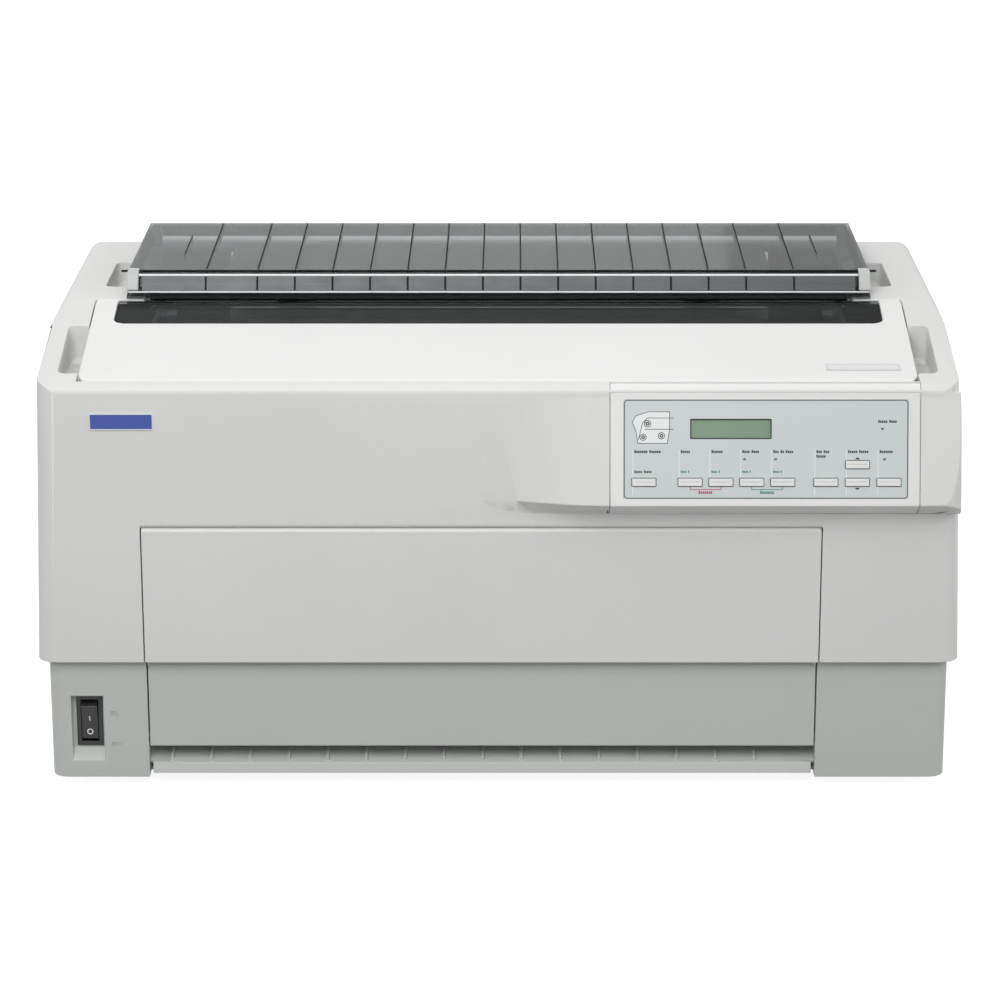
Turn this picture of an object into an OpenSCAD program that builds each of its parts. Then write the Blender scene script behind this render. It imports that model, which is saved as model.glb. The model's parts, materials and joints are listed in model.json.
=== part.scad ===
// Wide-carriage dot matrix printer with hinged covers, on four rubber feet.
// X runs to the right, Y to the back and Z up.
// The origin is on the floor, under the middle of the printer.

/* [Casing] */
// Width of the upper case along its lower edge
case_w = 700; // [690:1:712]
// Depth from the control panel's lip to the back
case_d = 382; // [378:1:396]
// Height of the casing above its feet
case_h = 342; // [338:1:346]
// Height of the lower casing
base_h = 95.5; // [94:0.5:97]
// How far each side leans in from the lower edge to the top
side_lean = 8; // [4:1:10]
// Wall of every moulded cover
wall = 3; // [2.6:0.1:3.2]
// Radius of the front corners seen from above
front_corner = 16; // [12:1:20]
// Radius of the rear corners seen from above
rear_corner = 26; // [20:1:30]
// Radius along the top edges
edge_r = 9; // [7:1:10]
// How far the front of the top slopes down
slope_drop = 26.5; // [24:0.5:28]
// Distance of the top's bend from the middle
slope_back = 34; // [34:1:44]
// How far the lower casing's sides are set in
base_inset = 7.5; // [5:0.5:9]
// How far the lower casing's front is set back
base_setback = 7; // [6:0.5:8]
// Height of the rubber feet
foot_h = 8; // [6:0.5:14]
// Radius of the rubber feet
foot_r = 14; // [10:1:18]

/* [Front cover] */
// Width of the casing at the left of the cover
door_left_margin = 82; // [81:1:88]
// Width of the casing at the right of the cover
door_right_margin = 107; // [100:1:112]
// Distance from the cover's top edge up to the control panel
door_gap = 11.4; // [10:0.1:22]
// Height of the cover's lower edge above the casing's bottom
door_low = 25.5; // [25:0.5:32]
// Radius of the cover's hinge pins
door_pin_r = 3; // [2:0.5:3.5]

/* [Lid] */
// Distance from the case's side to the lid
lid_margin = 37.5; // [35:0.5:41]
// Distance of the lid's rear edge from the middle
lid_back = 22; // [20:0.5:22]
// Width of the lid beside the smoked window
window_margin = 17; // [14.5:0.5:22]
// Distance of the window's front edge from the middle
window_front = 68; // [60:1:74]
// Radius of the lid's hinge pins
lid_pin_r = 2.5; // [1.5:0.5:2.5]
// Width of a finger pocket beside the lid
pocket_w = 16; // [12:1:18]

/* [Rear cover] */
// How far the smoked rear cover stays inside the lid's side
cover_margin = 22.5; // [20.5:0.5:25.5]
// Distance of the cover's rear edge from the case's back
cover_setback = 18; // [16:1:23]
// Height of the cover above the case's top
cover_rise = 19; // [18:0.5:24]
// Thickness of the smoked plastic
smoked_t = 2.5; // [2:0.1:2.6]
// Distance between two ribs under the cover
rib_pitch = 29.4; // [24:0.1:29.4]

/* [Control panel] */
// How far the panel's lip stands out from the front
bulge = 19; // [14:0.5:22]
// Width of the panel's bezel
bezel_w = 229.6; // [229:0.2:234]
// Distance from the bezel to the case's side
bezel_margin = 37; // [34:1:39]
// Thickness of the bezel
bezel_t = 2.5; // [2:0.1:3]
// Width of a key
key_w = 17.4; // [14:0.1:18.4]
// Height of a key
key_h = 5.6; // [4:0.1:6.4]
// How far a key travels
key_travel = 1; // [0.5:0.1:1.2]

/* [Print station] */
// Distance between the side frames
frame_gap = 544; // [542:0.5:544]
// Thickness of the side frames
frame_t = 3; // [2:0.5:3]
// Radius of the platen
platen_r = 20; // [18:0.5:20]
// Length of the platen
platen_l = 436; // [420:1:440]
// Radius of the platen's shaft
platen_shaft_r = 6; // [5:0.5:7]
// Radius of the two rods that carry the carriage
rod_r = 6; // [5:0.5:6]
// Width of the carriage
carriage_w = 84; // [70:1:84]

/* [Paper feed] */
// Radius of the round tractor rods
tractor_rod_r = 5; // [4:0.5:5.5]
// Distance of each tractor from the middle at rest
tractor_x = 165; // [150:1:190]
// Width of a tractor's housing
tractor_w = 22; // [20:1:26]
// Length of a tractor's housing
tractor_l = 72; // [66:1:76]
// Teeth of the platen gear
platen_teeth = 40; // [36:1:42]
// Teeth of the motor pinion
pinion_teeth = 12; // [12:1:14]
// Distance between two ribs of the paper entry
entry_pitch = 29.8; // [24:0.1:30]

/* [Hidden] */
$fn = 48;

// Colours
case_colour = [0.87, 0.87, 0.85];
base_colour = [0.68, 0.7, 0.67];
lid_colour = [0.92, 0.92, 0.91];
smoke_colour = [0.25, 0.27, 0.28, 0.7];
dark_colour = [0.12, 0.12, 0.13];
steel_colour = [0.7, 0.71, 0.73];
board_colour = [0.1, 0.36, 0.2];

// Fits
seam = 0.8;
soft_gap = 0.3;
running = 0.05;

// Heights and depths of the casing
base_z = foot_h;
split_z = base_z + base_h;
top_z = base_z + case_h;
front_y = -(case_d / 2 - bulge);
back_y = case_d / 2;
nose = 16;
nose_drop = 7.5;
slope_front_y = front_y + nose;
slope_back_y = -slope_back;
slope_len = slope_back_y - slope_front_y;
slope_front_z = top_z - slope_drop;
base_front_y = front_y + base_setback;
base_back_y = back_y - wall;
base_half = case_w / 2 - base_inset;
base_corner = 12;
flange_w = base_inset + wall + 1.5;
slope_k = slope_drop / slope_len;

// Control panel: the section runs from its top over the lip to its lower edge
panel_h = 82.5;
under_h = 12.1;
panel_top = [front_y + 1, slope_front_z - nose_drop];
panel_lip = [front_y - bulge, panel_top[1] - panel_h];
panel_under = [front_y + 1, panel_lip[1] - under_h];
panel_tilt = atan((panel_top[0] - panel_lip[0]) / panel_h);
panel_l = norm(panel_top - panel_lip);
swell_start = -25;
swell_end = 80;
swell_steps = 8;
recess_depth = 0.8;
bezel_right = case_w / 2 - bezel_margin;
bezel_left = bezel_right - bezel_w;
membrane_x0 = bezel_left + 10.1;
membrane_x1 = bezel_right - 9;
membrane_s0 = 5.8;
membrane_s1 = 79;
lcd_x0 = bezel_left + 59.6;
lcd_x1 = lcd_x0 + 59.4;
lcd_s0 = 50.5;
lcd_s1 = 64.5;
board_depth = 12.4;
board_t = 1.6;
boss_r = 3;
switch_h = 1.5;
key_row = 17.9;
key_upper_row = 31;
key_x = [for (x = [24.9, 59.2, 82, 104.9, 127.8, 159.8, 183.2, 183.2, 206.6]) bezel_left + x];
key_s = [key_row, key_row, key_row, key_row, key_row, key_row, key_upper_row, key_row, key_row];
key_proud = 1.2;
key_fit = 0.25;

// Lid
lid_half = case_w / 2 - lid_margin;
lid_front_y = front_y + 9.3;
lid_axis = [-(lid_back + 7), top_z - 4.5];
window_half = lid_half - window_margin;
window_back_y = lid_axis[0] - 1.5;
window_sink = 1;
window_lap = 4;
knuckle_w = 9;
lid_pin_l = 4.5;
lid_cut_half = lid_half + seam;
opening_front_y = -(lid_back - 1.8);
pocket_x0 = lid_half - 10;
pocket_x1 = lid_half + pocket_w;
pocket_y0 = slope_front_y + 6;
pocket_y1 = slope_back_y - 37;
pocket_floor = top_z - 38;
pocket_front_z = top_z - 31;
pocket_wall = 2.5;

// Rear cover
cover_half = lid_half - cover_margin;
cover_back = back_y - cover_setback;
cover_top = top_z + cover_rise;
cover_lip_y = -22;
lip_z = top_z + 4;
cover_axis = [cover_back - 7.5, top_z + 10.5];
cover_pin_r = 2.5;
cover_ear_r = 4.6;
skirt_gap = 1;
cover_rib_t = 1.5;
cover_rib_h = 6;
cover_rib_count = 14;
cover_rib_start = -188.7;
grip_w = 8.5;
opening_half = cover_half - 14;
opening_back_y = cover_back - 22;
rear_pocket_x0 = opening_half + 3;
rear_pocket_x1 = cover_half + 21;
rear_pocket_y0 = 22.5;
rear_pocket_y1 = 106.5;
rear_pocket_floor = top_z - 20;

// Front cover
door_axis = [base_front_y + 7, base_z + 32];
door_t = 3;
cheek_t = 4;
door_left = case_w / 2 - door_left_margin;
door_right = case_w / 2 - door_right_margin;
door_top_z = panel_under[1] - door_gap;
guide_y = base_front_y + 15;

// Power switch
switch_x = -(base_half - 29.5);
switch_z = base_z + 43.8;
switch_y = base_front_y + 8;
rocker_w = 12.6;
rocker_r = 15.9;
rocker_tilt = 7;
rocker_axis = [switch_y + 5, switch_z];
rocker_pin_r = 1.5;

// Print station
frame_in = frame_gap / 2;
frame_out = frame_in + frame_t;
deck_z = base_z + 3;
chassis_t = 2;
chassis_z = deck_z + chassis_t;
chassis_front_y = guide_y + 38;
chassis_back_y = base_back_y - 12;
platen_at = [32, top_z - 74];
front_rod_at = platen_at - [132, 40];
rear_rod_at = platen_at - [62, 40];
front_drive_at = platen_at - [149, 100];
front_rod2_at = front_drive_at - [0, 44];
rear_drive_at = platen_at + [74, 28];
rear_rod2_at = rear_drive_at + [44, 0];
journal_r = 5;
square_w = 8;
rod_end = frame_out + 3;
paper_half = 218;
pulley_x = 244;
pulley_y = -65;
pulley_r = 12;
pulley_z = platen_at[1] - 66;
pulley_h = 11;
belt_t = 1.5;
belt_w = 8;
belt_z = pulley_z + 1.5;
bracket_z = pulley_z - 7;
bracket_t = 3;
motor_r = 22;
motor_l = 46;
head_z = platen_at[1];
carriage_low = front_rod_at[1] - rod_r - 4;
carriage_high = head_z - 24;
tape_y = platen_at[0] - platen_r - 2;
tape_t = 0.6;
feed_motor_r = 21;
gear_module = 1.25;
gear_x = frame_out + 4;
gear_w = 10;
gear_play = 0.15;
gear_distance = gear_module * (platen_teeth + pinion_teeth) / 2 + gear_play;
pinion_drop = 50;
pinion_at = platen_at + gear_distance * [cos(pinion_drop), -sin(pinion_drop)];
pinion_shaft_r = 3;
feed_pulley_r = 13;
rear_pulley_r = 18;
pinion_pulley_r = rear_pulley_r * pinion_teeth / platen_teeth;
feed_belt_w = 7;
front_belt_x = -(frame_out + 12);
rear_belt_x = gear_x + gear_w + 1.5;

// Rear panel, where each port is given as the middle and the width of its opening
rear_window_half = 250;
panel_half = rear_window_half + 5;
sheet_t = 1.5;
socket_height = 44;
inlet_x = -211;
inlet_w = 36;
inlet_h = 18;
ports = [[91, 56], [170, 34]];
port_h = 10;

// Tractors
tractor_t = 26;
front_tractor_at = (front_drive_at + front_rod2_at) / 2;
rear_tractor_at = (rear_drive_at + rear_rod2_at) / 2;
shaft_reach = norm(front_drive_at - front_rod2_at) / 2;
flap_t = 2;
flap_pin_r = 1.5;
flap_axis_x = tractor_w / 2 + 2.5;
flap_axis_z = tractor_t / 2 + 0.5;
ear_l = 6;

function unit(v) = v / norm(v);
function left_of(v) = [-v[1], v[0]];

// Point i of a path, moved by w to the left of the direction of travel
function moved(path, i, w) =
    let (n = len(path),
         before = left_of(unit(path[max(i, 1)] - path[max(i, 1) - 1])),
         after = left_of(unit(path[min(i, n - 2) + 1] - path[min(i, n - 2)])))
    path[i] + w * (before + after) / (1 + before * after);

// Outline of a sheet between two distances from a path
function sheet(path, w0, w1) =
    concat([for (i = [0 : len(path) - 1]) moved(path, i, w0)],
           [for (i = [len(path) - 1 : -1 : 0]) moved(path, i, w1)]);

// Arc of points around a centre
function arc(centre, r, a0, a1, steps = 6) =
    [for (i = [0 : steps]) let (a = a0 + (a1 - a0) * i / steps) centre + r * [cos(a), sin(a)]];

function smooth(t) = t < 0 ? 0 : t > 1 ? 1 : t * t * (3 - 2 * t);

// Height of the case's top at a depth y
function top_at(y) = y > slope_back_y ? top_z : top_z - (slope_back_y - y) * slope_k;

// Draws a shape given in Y and Z from x0 to x1
module across(x0, x1) {
  translate([x0, 0, 0]) rotate([90, 0, 90]) linear_extrude(x1 - x0) children();
}

module bar(x0, x1, r, at) {
  across(x0, x1) translate(at) circle(r = r);
}

module box(low, high) {
  translate(low) cube(high - low);
}

module round_rect(x0, x1, y0, y1, r) {
  translate([x0 + r, y0]) square([x1 - x0 - 2 * r, y1 - y0]);
  translate([x0, y0 + r]) square([x1 - x0, y1 - y0 - 2 * r]);
  for (x = [x0 + r, x1 - r], y = [y0 + r, y1 - r]) translate([x, y]) circle(r = r);
}

// Local x across, y up the panel and z out of its face
module on_panel() {
  translate([0, panel_lip[0], panel_lip[1]]) rotate([90 - panel_tilt, 0, 0]) children();
}

// Casing

// Side outline of the upper case, drawn in by inset
module side_outline(inset, low) {
  r = edge_r - inset / 3;
  front_r = edge_r - inset / 2;
  slope = atan(slope_k);
  f = front_y + inset;
  nose_z = slope_front_z - inset - (nose - inset - front_r) * slope_k;
  polygon(concat(
    [[f, low]],
    arc([f + front_r, nose_z - front_r], front_r, 180, 90 + slope),
    [[slope_back_y + inset * slope_k / 2, top_z - inset]],
    arc([back_y - inset - r, top_z - inset - r], r, 90, 0),
    [[back_y - inset, low]]));
}

// Front outline that rounds the long top edges
module top_rounding(inset, low) {
  half = case_w / 2 - side_lean - inset;
  r = edge_r;
  far = case_w;
  zt = top_z - inset;
  lean = side_lean * r / (top_z - split_z);
  polygon(concat(
    [[far, low], [far, zt - r], [half + lean, zt - r]],
    arc([half + lean - r, zt - r], r, 10, 90),
    [[half + lean - r, zt + 5], [-half - lean + r, zt + 5]],
    arc([-half - lean + r, zt - r], r, 90, 170),
    [[-half - lean, zt - r], [-far, zt - r], [-far, low]]));
}

module leaning_block(inset, low, y0) {
  hull() {
    for (s = [-1, 1], level = [[low, 0], [top_z + 1, side_lean]]) {
      x = case_w / 2 - level[1];
      translate([s * (x - front_corner), y0 + front_corner, level[0]])
        cylinder(r = front_corner - inset, h = 0.1, $fn = 32);
      translate([s * (x - rear_corner), back_y - rear_corner, level[0]])
        cylinder(r = rear_corner - inset, h = 0.1, $fn = 32);
    }
  }
}

module case_body(inset, low) {
  intersection() {
    leaning_block(inset, low, front_y);
    across(-case_w, case_w) side_outline(inset, low);
    translate([0, case_d, 0]) rotate([90, 0, 0]) linear_extrude(2 * case_d)
      top_rounding(inset, low);
  }
}

// Section of the control panel's swelling, where p grows from 0 to 1
function swell_section(x, p) =
    let (out = -0.5 + (bulge + 0.5) * p)
    [[x, panel_top[0], panel_top[1]], [x, front_y - out, panel_lip[1]],
     [x, panel_under[0], panel_under[1]],
     [x, panel_under[0] + 2, panel_under[1]], [x, panel_top[0] + 2, panel_top[1]]];

module swelling() {
  n = swell_steps + 1;
  rows = concat([for (i = [0 : swell_steps])
                 let (t = i / swell_steps, x = swell_start + (swell_end - swell_start) * t)
                 swell_section(x, smooth(t))],
                [swell_section(case_w / 2 + 5, 1)]);
  points = [for (row = rows) each row];
  sides = [for (i = [0 : n - 1], j = [0 : 4])
           let (a = 5 * i + j, b = 5 * i + (j + 1) % 5)
           each [[a, b + 5, b], [a, a + 5, b + 5]]];
  intersection() {
    polyhedron(points, concat([[0, 1, 2, 3, 4]], sides, [[for (j = [4 : -1 : 0]) 5 * n + j]]),
               convexity = 4);
    leaning_block(0, split_z, panel_lip[0]);
  }
}

// Space of a finger pocket, open above; the floor rises towards the front
module pocket_space(x0, x1, y0, y1, floor_z, front_z) {
  intersection() {
    across(x0, x1) polygon([[y0, top_z + 5], [y0, front_z], [y0 + (y1 - y0) * 0.4, floor_z + 3],
                            [y0 + (y1 - y0) * 0.5, floor_z], [y1 - 4, floor_z],
                            [y1, floor_z + 4], [y1, top_z + 5]]);
    translate([0, 0, floor_z - 5]) linear_extrude(top_z) round_rect(x0, x1, y0, y1, 6);
  }
}

module pocket_tubs() {
  low = -pocket_wall * [1, 1, 1];
  for (s = [0, 1]) mirror([s, 0, 0]) {
    intersection() {
      box([pocket_x0, pocket_y0, pocket_floor] + low,
          [pocket_x1 + pocket_wall, pocket_y1 + pocket_wall, top_z]);
      across(0, case_w / 2) side_outline(1, split_z);
    }
    box([rear_pocket_x0, rear_pocket_y0, rear_pocket_floor] + low,
        [rear_pocket_x1 + pocket_wall, rear_pocket_y1 + pocket_wall, top_z - 1]);
  }
}

// Everything above the lid's underside, within the lid's outline
module lid_opening() {
  front = lid_front_y - seam;
  path = [[opening_front_y, top_z], [slope_back_y, top_z], [front, top_at(front)]];
  across(-lid_cut_half, lid_cut_half) polygon(sheet(path, -8, wall + 0.6));
}

module upper_case() color(case_colour) {
  difference() {
    union() {
      difference() {
        union() {
          case_body(0, split_z);
          swelling();
        }
        case_body(wall, split_z + wall);
        box([-case_w / 2 + flange_w, front_y + flange_w, split_z - 1],
            [case_w / 2 - flange_w, back_y - flange_w, split_z + wall + 1]);
      }
      pocket_tubs();
      // ears for the lid's pins
      for (s = [-1, 1])
        box([s > 0 ? lid_cut_half : -lid_cut_half - 6, lid_axis[0] - 6, lid_axis[1] - 6],
            [s > 0 ? lid_cut_half + 6 : -lid_cut_half, lid_axis[0] + 6, top_z - 1]);
      // ears for the rear cover's pins
      for (s = [0, 1]) mirror([s, 0, 0])
        across(cover_half - smoked_t - 8, cover_half - smoked_t - soft_gap) {
          translate(cover_axis) circle(r = cover_ear_r);
          // the neck leans forward, clear of the cover's rear wall as it swings down
          polygon([cover_axis - [cover_ear_r, 0], [cover_axis[0] - 9, top_z - 1],
                   [cover_axis[0] - 3.8, top_z - 1],
                   cover_axis - cover_ear_r * [cos(45), sin(45)], cover_axis]);
        }
    }
    lid_opening();
    box([-opening_half, -30, top_z - 12], [opening_half, opening_back_y, top_z + 5]);
    box([-window_half - window_lap - 2, -window_front + 1, top_z - 12],
        [window_half + window_lap + 2, opening_front_y, top_z + 5]);
    for (s = [0, 1]) mirror([s, 0, 0]) {
      pocket_space(pocket_x0, pocket_x1, pocket_y0, pocket_y1, pocket_floor, pocket_front_z);
      pocket_space(rear_pocket_x0, rear_pocket_x1, rear_pocket_y0, rear_pocket_y1,
                   rear_pocket_floor, rear_pocket_floor + 6);
      bar(0, lid_cut_half + lid_pin_l + 2, lid_pin_r + running, lid_axis);
      bar(cover_half - smoked_t - 9, cover_half - smoked_t, cover_pin_r + running, cover_axis);
    }
    // door opening with a finger bevel along its top
    box([-door_left - 0.5, front_y - 1, split_z - 1],
        [door_right + 0.5, front_y + flange_w + 1, door_top_z + 0.4]);
    across(-door_left - 0.5, door_right + 0.5)
      polygon([[front_y - 1, door_top_z], [front_y - 1, door_top_z + 3.4],
               [front_y + 2, door_top_z + 0.4], [front_y + 2, door_top_z]]);
    // seat and window of the control panel
    across(bezel_left - 0.4, bezel_right + 0.4)
      polygon(sheet(bezel_path(0.4), -6, bezel_t));
    on_panel() box([membrane_x0 - 5, 3.5, -62], [membrane_x1 + 4, panel_l - 4.5, 1]);
    // paper slot in the back
    box([-paper_half - 7, back_y - wall - 2, top_z - 46],
        [paper_half + 7, back_y + 1, top_z - 10]);
  }
}

module base_shell(inset, low, high) {
  translate([0, 0, low]) linear_extrude(high - low)
    round_rect(-base_half + inset, base_half - inset, base_front_y + inset,
               base_back_y - inset, base_corner - inset);
}

module base_case() color(base_colour) {
  recess_x0 = switch_x - 13;
  recess_x1 = switch_x + 11.5;
  difference() {
    union() {
      difference() {
        base_shell(0, base_z, split_z);
        base_shell(wall, deck_z, split_z + 1);
        box([-door_left - cheek_t / 2, base_front_y - 1, base_z - 1],
            [door_right + cheek_t / 2, guide_y, split_z + 1]);
      }
      for (x = [-door_left - cheek_t + 0.5, door_right - 0.5])
        box([x, base_front_y, base_z], [x + cheek_t, guide_y + 20, split_z - soft_gap]);
      // box behind the switch recess
      box([recess_x0 - 2.5, base_front_y + 1, switch_z - 32],
          [recess_x1 + 2.5, switch_y + 2.5, switch_z + 32]);
    }
    bar(-door_left - cheek_t - 1, door_right + cheek_t + 1, door_pin_r + running, door_axis);
    across(recess_x0, recess_x1)
      polygon([[base_front_y - 1, switch_z - 30.8], [base_front_y, switch_z - 29.8],
               [switch_y, switch_z - 22], [switch_y, switch_z + 20.8],
               [base_front_y, switch_z + 22.2], [base_front_y - 1, switch_z + 22.2]]);
    switch_box(8.7, 18.7, switch_y - 1, switch_y + 3);
    // window of the rear panel
    box([-rear_window_half, base_back_y - wall - 1, deck_z + 9],
        [rear_window_half, base_back_y + 1, split_z - 10]);
  }
}

module rubber_feet() color(dark_colour) {
  foot_x = base_half - 62.5;
  for (x = [-foot_x, foot_x], y = [base_front_y + 47, base_back_y - 48])
    translate([x, y, 0]) cylinder(r = foot_r, h = foot_h);
}

// Front cover: an upper panel flush with the upper case and a lower one flush with the base
module front_cover() color(case_colour) {
  upper_back = front_y + door_t;
  lower_back = base_front_y + door_t;
  top = door_top_z;
  low = base_z + door_low;
  x0 = -door_left + 1.5;
  x1 = door_right - 1.5;
  across(-door_left + 0.3, door_right - 0.3)
    polygon([[front_y, split_z], [front_y, top - 2], [front_y + 2, top], [upper_back + 2, top],
             [upper_back + 2, top - 3], [upper_back, top - 3], [upper_back, split_z + wall],
             [lower_back, split_z + wall], [lower_back, split_z]]);
  across(x0, x1)
    polygon([[base_front_y, low], [base_front_y, split_z + 0.1], [lower_back, split_z + 0.1],
             [lower_back, low]]);
  for (x = [x0, x1 - wall]) {
    across(x, x + wall) {
      polygon([[front_y + 1, top - 1], [front_y + 10, top - 1], [lower_back + 1, split_z + 1],
               [lower_back + 1, split_z - 8], [lower_back - 1, split_z - 8], [front_y + 1, split_z + 1]]);
      translate(door_axis) circle(r = 5.5);
      polygon([[lower_back - 1, low + 1], [lower_back - 1, low + 30], [door_axis[0] + 5, door_axis[1]],
               [door_axis[0], door_axis[1] - 5.4]]);
    }
  }
  bar(-door_left - 2.5, x0 + 1, door_pin_r, door_axis);
  bar(x1 - 1, door_right + 2.5, door_pin_r, door_axis);
}

// Rail and ribbed ramp over which the paper enters from the front
module paper_entry_guide() color(base_colour) {
  x0 = -door_left + 0.5;
  x1 = door_right - 0.5;
  rail_z = base_z + 11.5;
  y0 = base_front_y + 2;
  back = guide_y + 28;
  ramp = [[y0 + 4, rail_z], [guide_y, rail_z + 3], [back + 4, base_z + 40]];
  across(x0 + 2.5, x1 - 2.5)
    polygon([[y0, base_z + 2.5], [y0, rail_z], [y0 + 4.5, rail_z], [y0 + 4.5, base_z + 2.5]]);
  across(x0, x1) polygon(sheet(ramp, 0, -2.5));
  across(x0, x1)
    polygon([[back, base_z + 3], [back, base_z + 34], [back + 3, base_z + 38],
             [back + 3, base_z + 3]]);
  count = floor((x1 - x0 - 24) / entry_pitch);
  for (i = [0 : count - 1])
    across(x0 + 17 + i * entry_pitch - 1, x0 + 17 + i * entry_pitch + 1)
      polygon(sheet([ramp[0], ramp[1], ramp[2] - [3, 3.3]], -1, 3));
}

// Lid and window

// Path of the lid's top from its rear edge over the slope to its front edge
function lid_path() =
    [[-lid_back, top_z], [slope_back_y, top_z], [slope_front_y - 1, top_at(slope_front_y - 1)],
     [lid_front_y, top_at(slope_front_y) - 3.5]];

module top_lid() color(lid_colour) {
  difference() {
    intersection() {
      across(-lid_half, lid_half) polygon(sheet(lid_path(), 0, wall));
      translate([0, 0, base_z]) linear_extrude(case_h + 10)
        round_rect(-lid_half, lid_half, lid_front_y, -lid_back + 12, 12);
    }
    box([-window_half, -window_front, top_z - 20], [window_half, 0, top_z + 5]);
  }
  for (s = [0, 1]) mirror([s, 0, 0]) {
    box([lid_half - knuckle_w, lid_axis[0] - 5, lid_axis[1] - 3],
        [lid_half, lid_axis[0] + 5, top_z - wall + 0.1]);
    bar(lid_half - 1, lid_half + lid_pin_l, lid_pin_r, lid_axis);
  }
}

module lid_window() color(smoke_colour) {
  upper = [[window_back_y, top_z], [slope_back_y, top_z],
           [-window_front + 0.3, top_at(-window_front + 0.3)]];
  lower = [[window_back_y, top_z], [slope_back_y, top_z],
           [-window_front - window_lap, top_at(-window_front - window_lap)]];
  difference() {
    union() {
      across(-window_half + 0.3, window_half - 0.3) polygon(sheet(upper, window_sink, wall + 0.1));
      across(-window_half - window_lap, window_half + window_lap) polygon(sheet(lower, wall, wall + 2));
    }
    // room for the lid's knuckles
    for (s = [0, 1]) mirror([s, 0, 0])
      box([lid_half - knuckle_w - 0.5, lid_axis[0] - 6, top_z - 12], [lid_half, 0, top_z - wall]);
  }
}

module name_plate() color([0.8, 0.81, 0.82]) {
  y0 = front_y + 26;
  y1 = front_y + 36;
  x1 = lid_half - 11.5;
  across(x1 - 56, x1) polygon(sheet([[y1, top_at(y1)], [y0, top_at(y0)]], -0.6, 0));
}

module badge_plate() color([0.27, 0.33, 0.62]) {
  badge_z = slope_front_z - 30.1;
  badge_x = 46.5 - case_w / 2;
  box([badge_x, front_y - 0.8, badge_z - 6.4], [badge_x + 47.7, front_y, badge_z + 6.4]);
}

// Rear cover

// Path of the cover's outer face from its front lip over the top to its rear edge
function cover_path() =
    [[cover_lip_y, top_z + skirt_gap], [cover_lip_y + 10, lip_z], [-6, cover_top - 3], [-2, cover_top],
     [cover_back - 4, cover_top], [cover_back, cover_top - 4], [cover_back, top_z + 6]];

module rear_cover() color(smoke_colour) {
  difference() {
    union() {
      across(-cover_half, cover_half) polygon(sheet(cover_path(), 0, -smoked_t));
      for (s = [0, 1]) mirror([s, 0, 0]) {
        across(cover_half - smoked_t, cover_half)
          polygon(concat(cover_path(), [[cover_back - 22, top_z + skirt_gap]]));
        bar(cover_half - smoked_t - 7, cover_half - 1, cover_pin_r, cover_axis);
      }
    }
    for (s = [0, 1]) mirror([s, 0, 0]) {
      box([cover_half - grip_w, -30, lip_z + 0.8], [cover_half + 1, 6, cover_top + 1]);
      // room for the case's top under the ends of the lip
      box([opening_half - 1, -30, top_z - 5], [cover_half + 1, 0, top_z + skirt_gap]);
    }
  }
  rib_x = concat([-229, 231], [for (i = [0 : cover_rib_count - 1]) cover_rib_start + i * rib_pitch]);
  for (x = rib_x)
    across(x - cover_rib_t / 2, x + cover_rib_t / 2)
      polygon([[2, cover_top - 1], [2, cover_top - smoked_t - cover_rib_h],
               [cover_back - 12, cover_top - smoked_t - cover_rib_h], [cover_back - 12, cover_top - 1]]);
}

module cover_grips() color(lid_colour) {
  for (s = [0, 1]) mirror([s, 0, 0])
    across(cover_half - grip_w, cover_half + 0.5)
      polygon([[-13, lip_z + 0.8], [-12.5, lip_z + 3], [-7.5, cover_top - 1.5], [-3, cover_top],
               [6, cover_top], [6, lip_z + 0.8]]);
}

module exit_guide() color([0.8, 0.79, 0.74]) {
  z = cover_top - smoked_t - cover_rib_h;
  box([-215, 24, z - 1.5], [215, 121, z]);
}

// Power switch

// Box of the given half width and half height around the switch's middle
module switch_box(half_w, half_h, y0, y1) {
  box([switch_x - half_w, y0, switch_z - half_h], [switch_x + half_w, y1, switch_z + half_h]);
}

module switch_frame() color(dark_colour) {
  half = rocker_w / 2;
  difference() {
    union() {
      switch_box(10, 20.3, switch_y - 1.2, switch_y);
      switch_box(8.5, 18.5, switch_y - 0.5, switch_y + 24);
    }
    switch_box(half + soft_gap, rocker_r + 1, switch_y - 5, switch_y + 20);
    bar(switch_x - half - 1.6, switch_x + half + 1.6, rocker_pin_r + running, rocker_axis);
  }
}

// The rocker's face is a shallow V; at rest its lower half is pressed
module power_rocker() color(dark_colour) {
  half = rocker_w / 2;
  across(switch_x - half, switch_x + half)
    translate(rocker_axis) rotate(rocker_tilt) intersection() {
      circle(r = rocker_r);
      polygon([[-6, 0], [-8.5, rocker_r], [5, rocker_r], [9, 4], [9, -4], [5, -rocker_r],
               [-8.5, -rocker_r]]);
    }
  bar(switch_x - half - 1.3, switch_x + half + 1.3, rocker_pin_r, rocker_axis);
}

// Plate with the power inlet, the parallel port and the serial port
module rear_panel() color(steel_colour) {
  y = base_back_y - wall;
  z = base_z + socket_height;
  difference() {
    union() {
      box([-panel_half, y - sheet_t, deck_z + 4], [panel_half, y, split_z - 5]);
      box([inlet_x - inlet_w / 2 - 6, y - 22, z - inlet_h / 2 - 5],
          [inlet_x + inlet_w / 2 + 6, y + 4, z + inlet_h / 2 + 5]);
      for (port = ports)
        box([port[0] - port[1] / 2 - 3, y - 12, z - port_h / 2 - 3],
            [port[0] + port[1] / 2 + 3, y + 5, z + port_h / 2 + 3]);
    }
    box([inlet_x - inlet_w / 2, y - 14, z - inlet_h / 2],
        [inlet_x + inlet_w / 2, y + 5, z + inlet_h / 2]);
    for (port = ports)
      box([port[0] - port[1] / 2, y - 6, z - port_h / 2],
          [port[0] + port[1] / 2, y + 6, z + port_h / 2]);
  }
}

// Control panel

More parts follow.
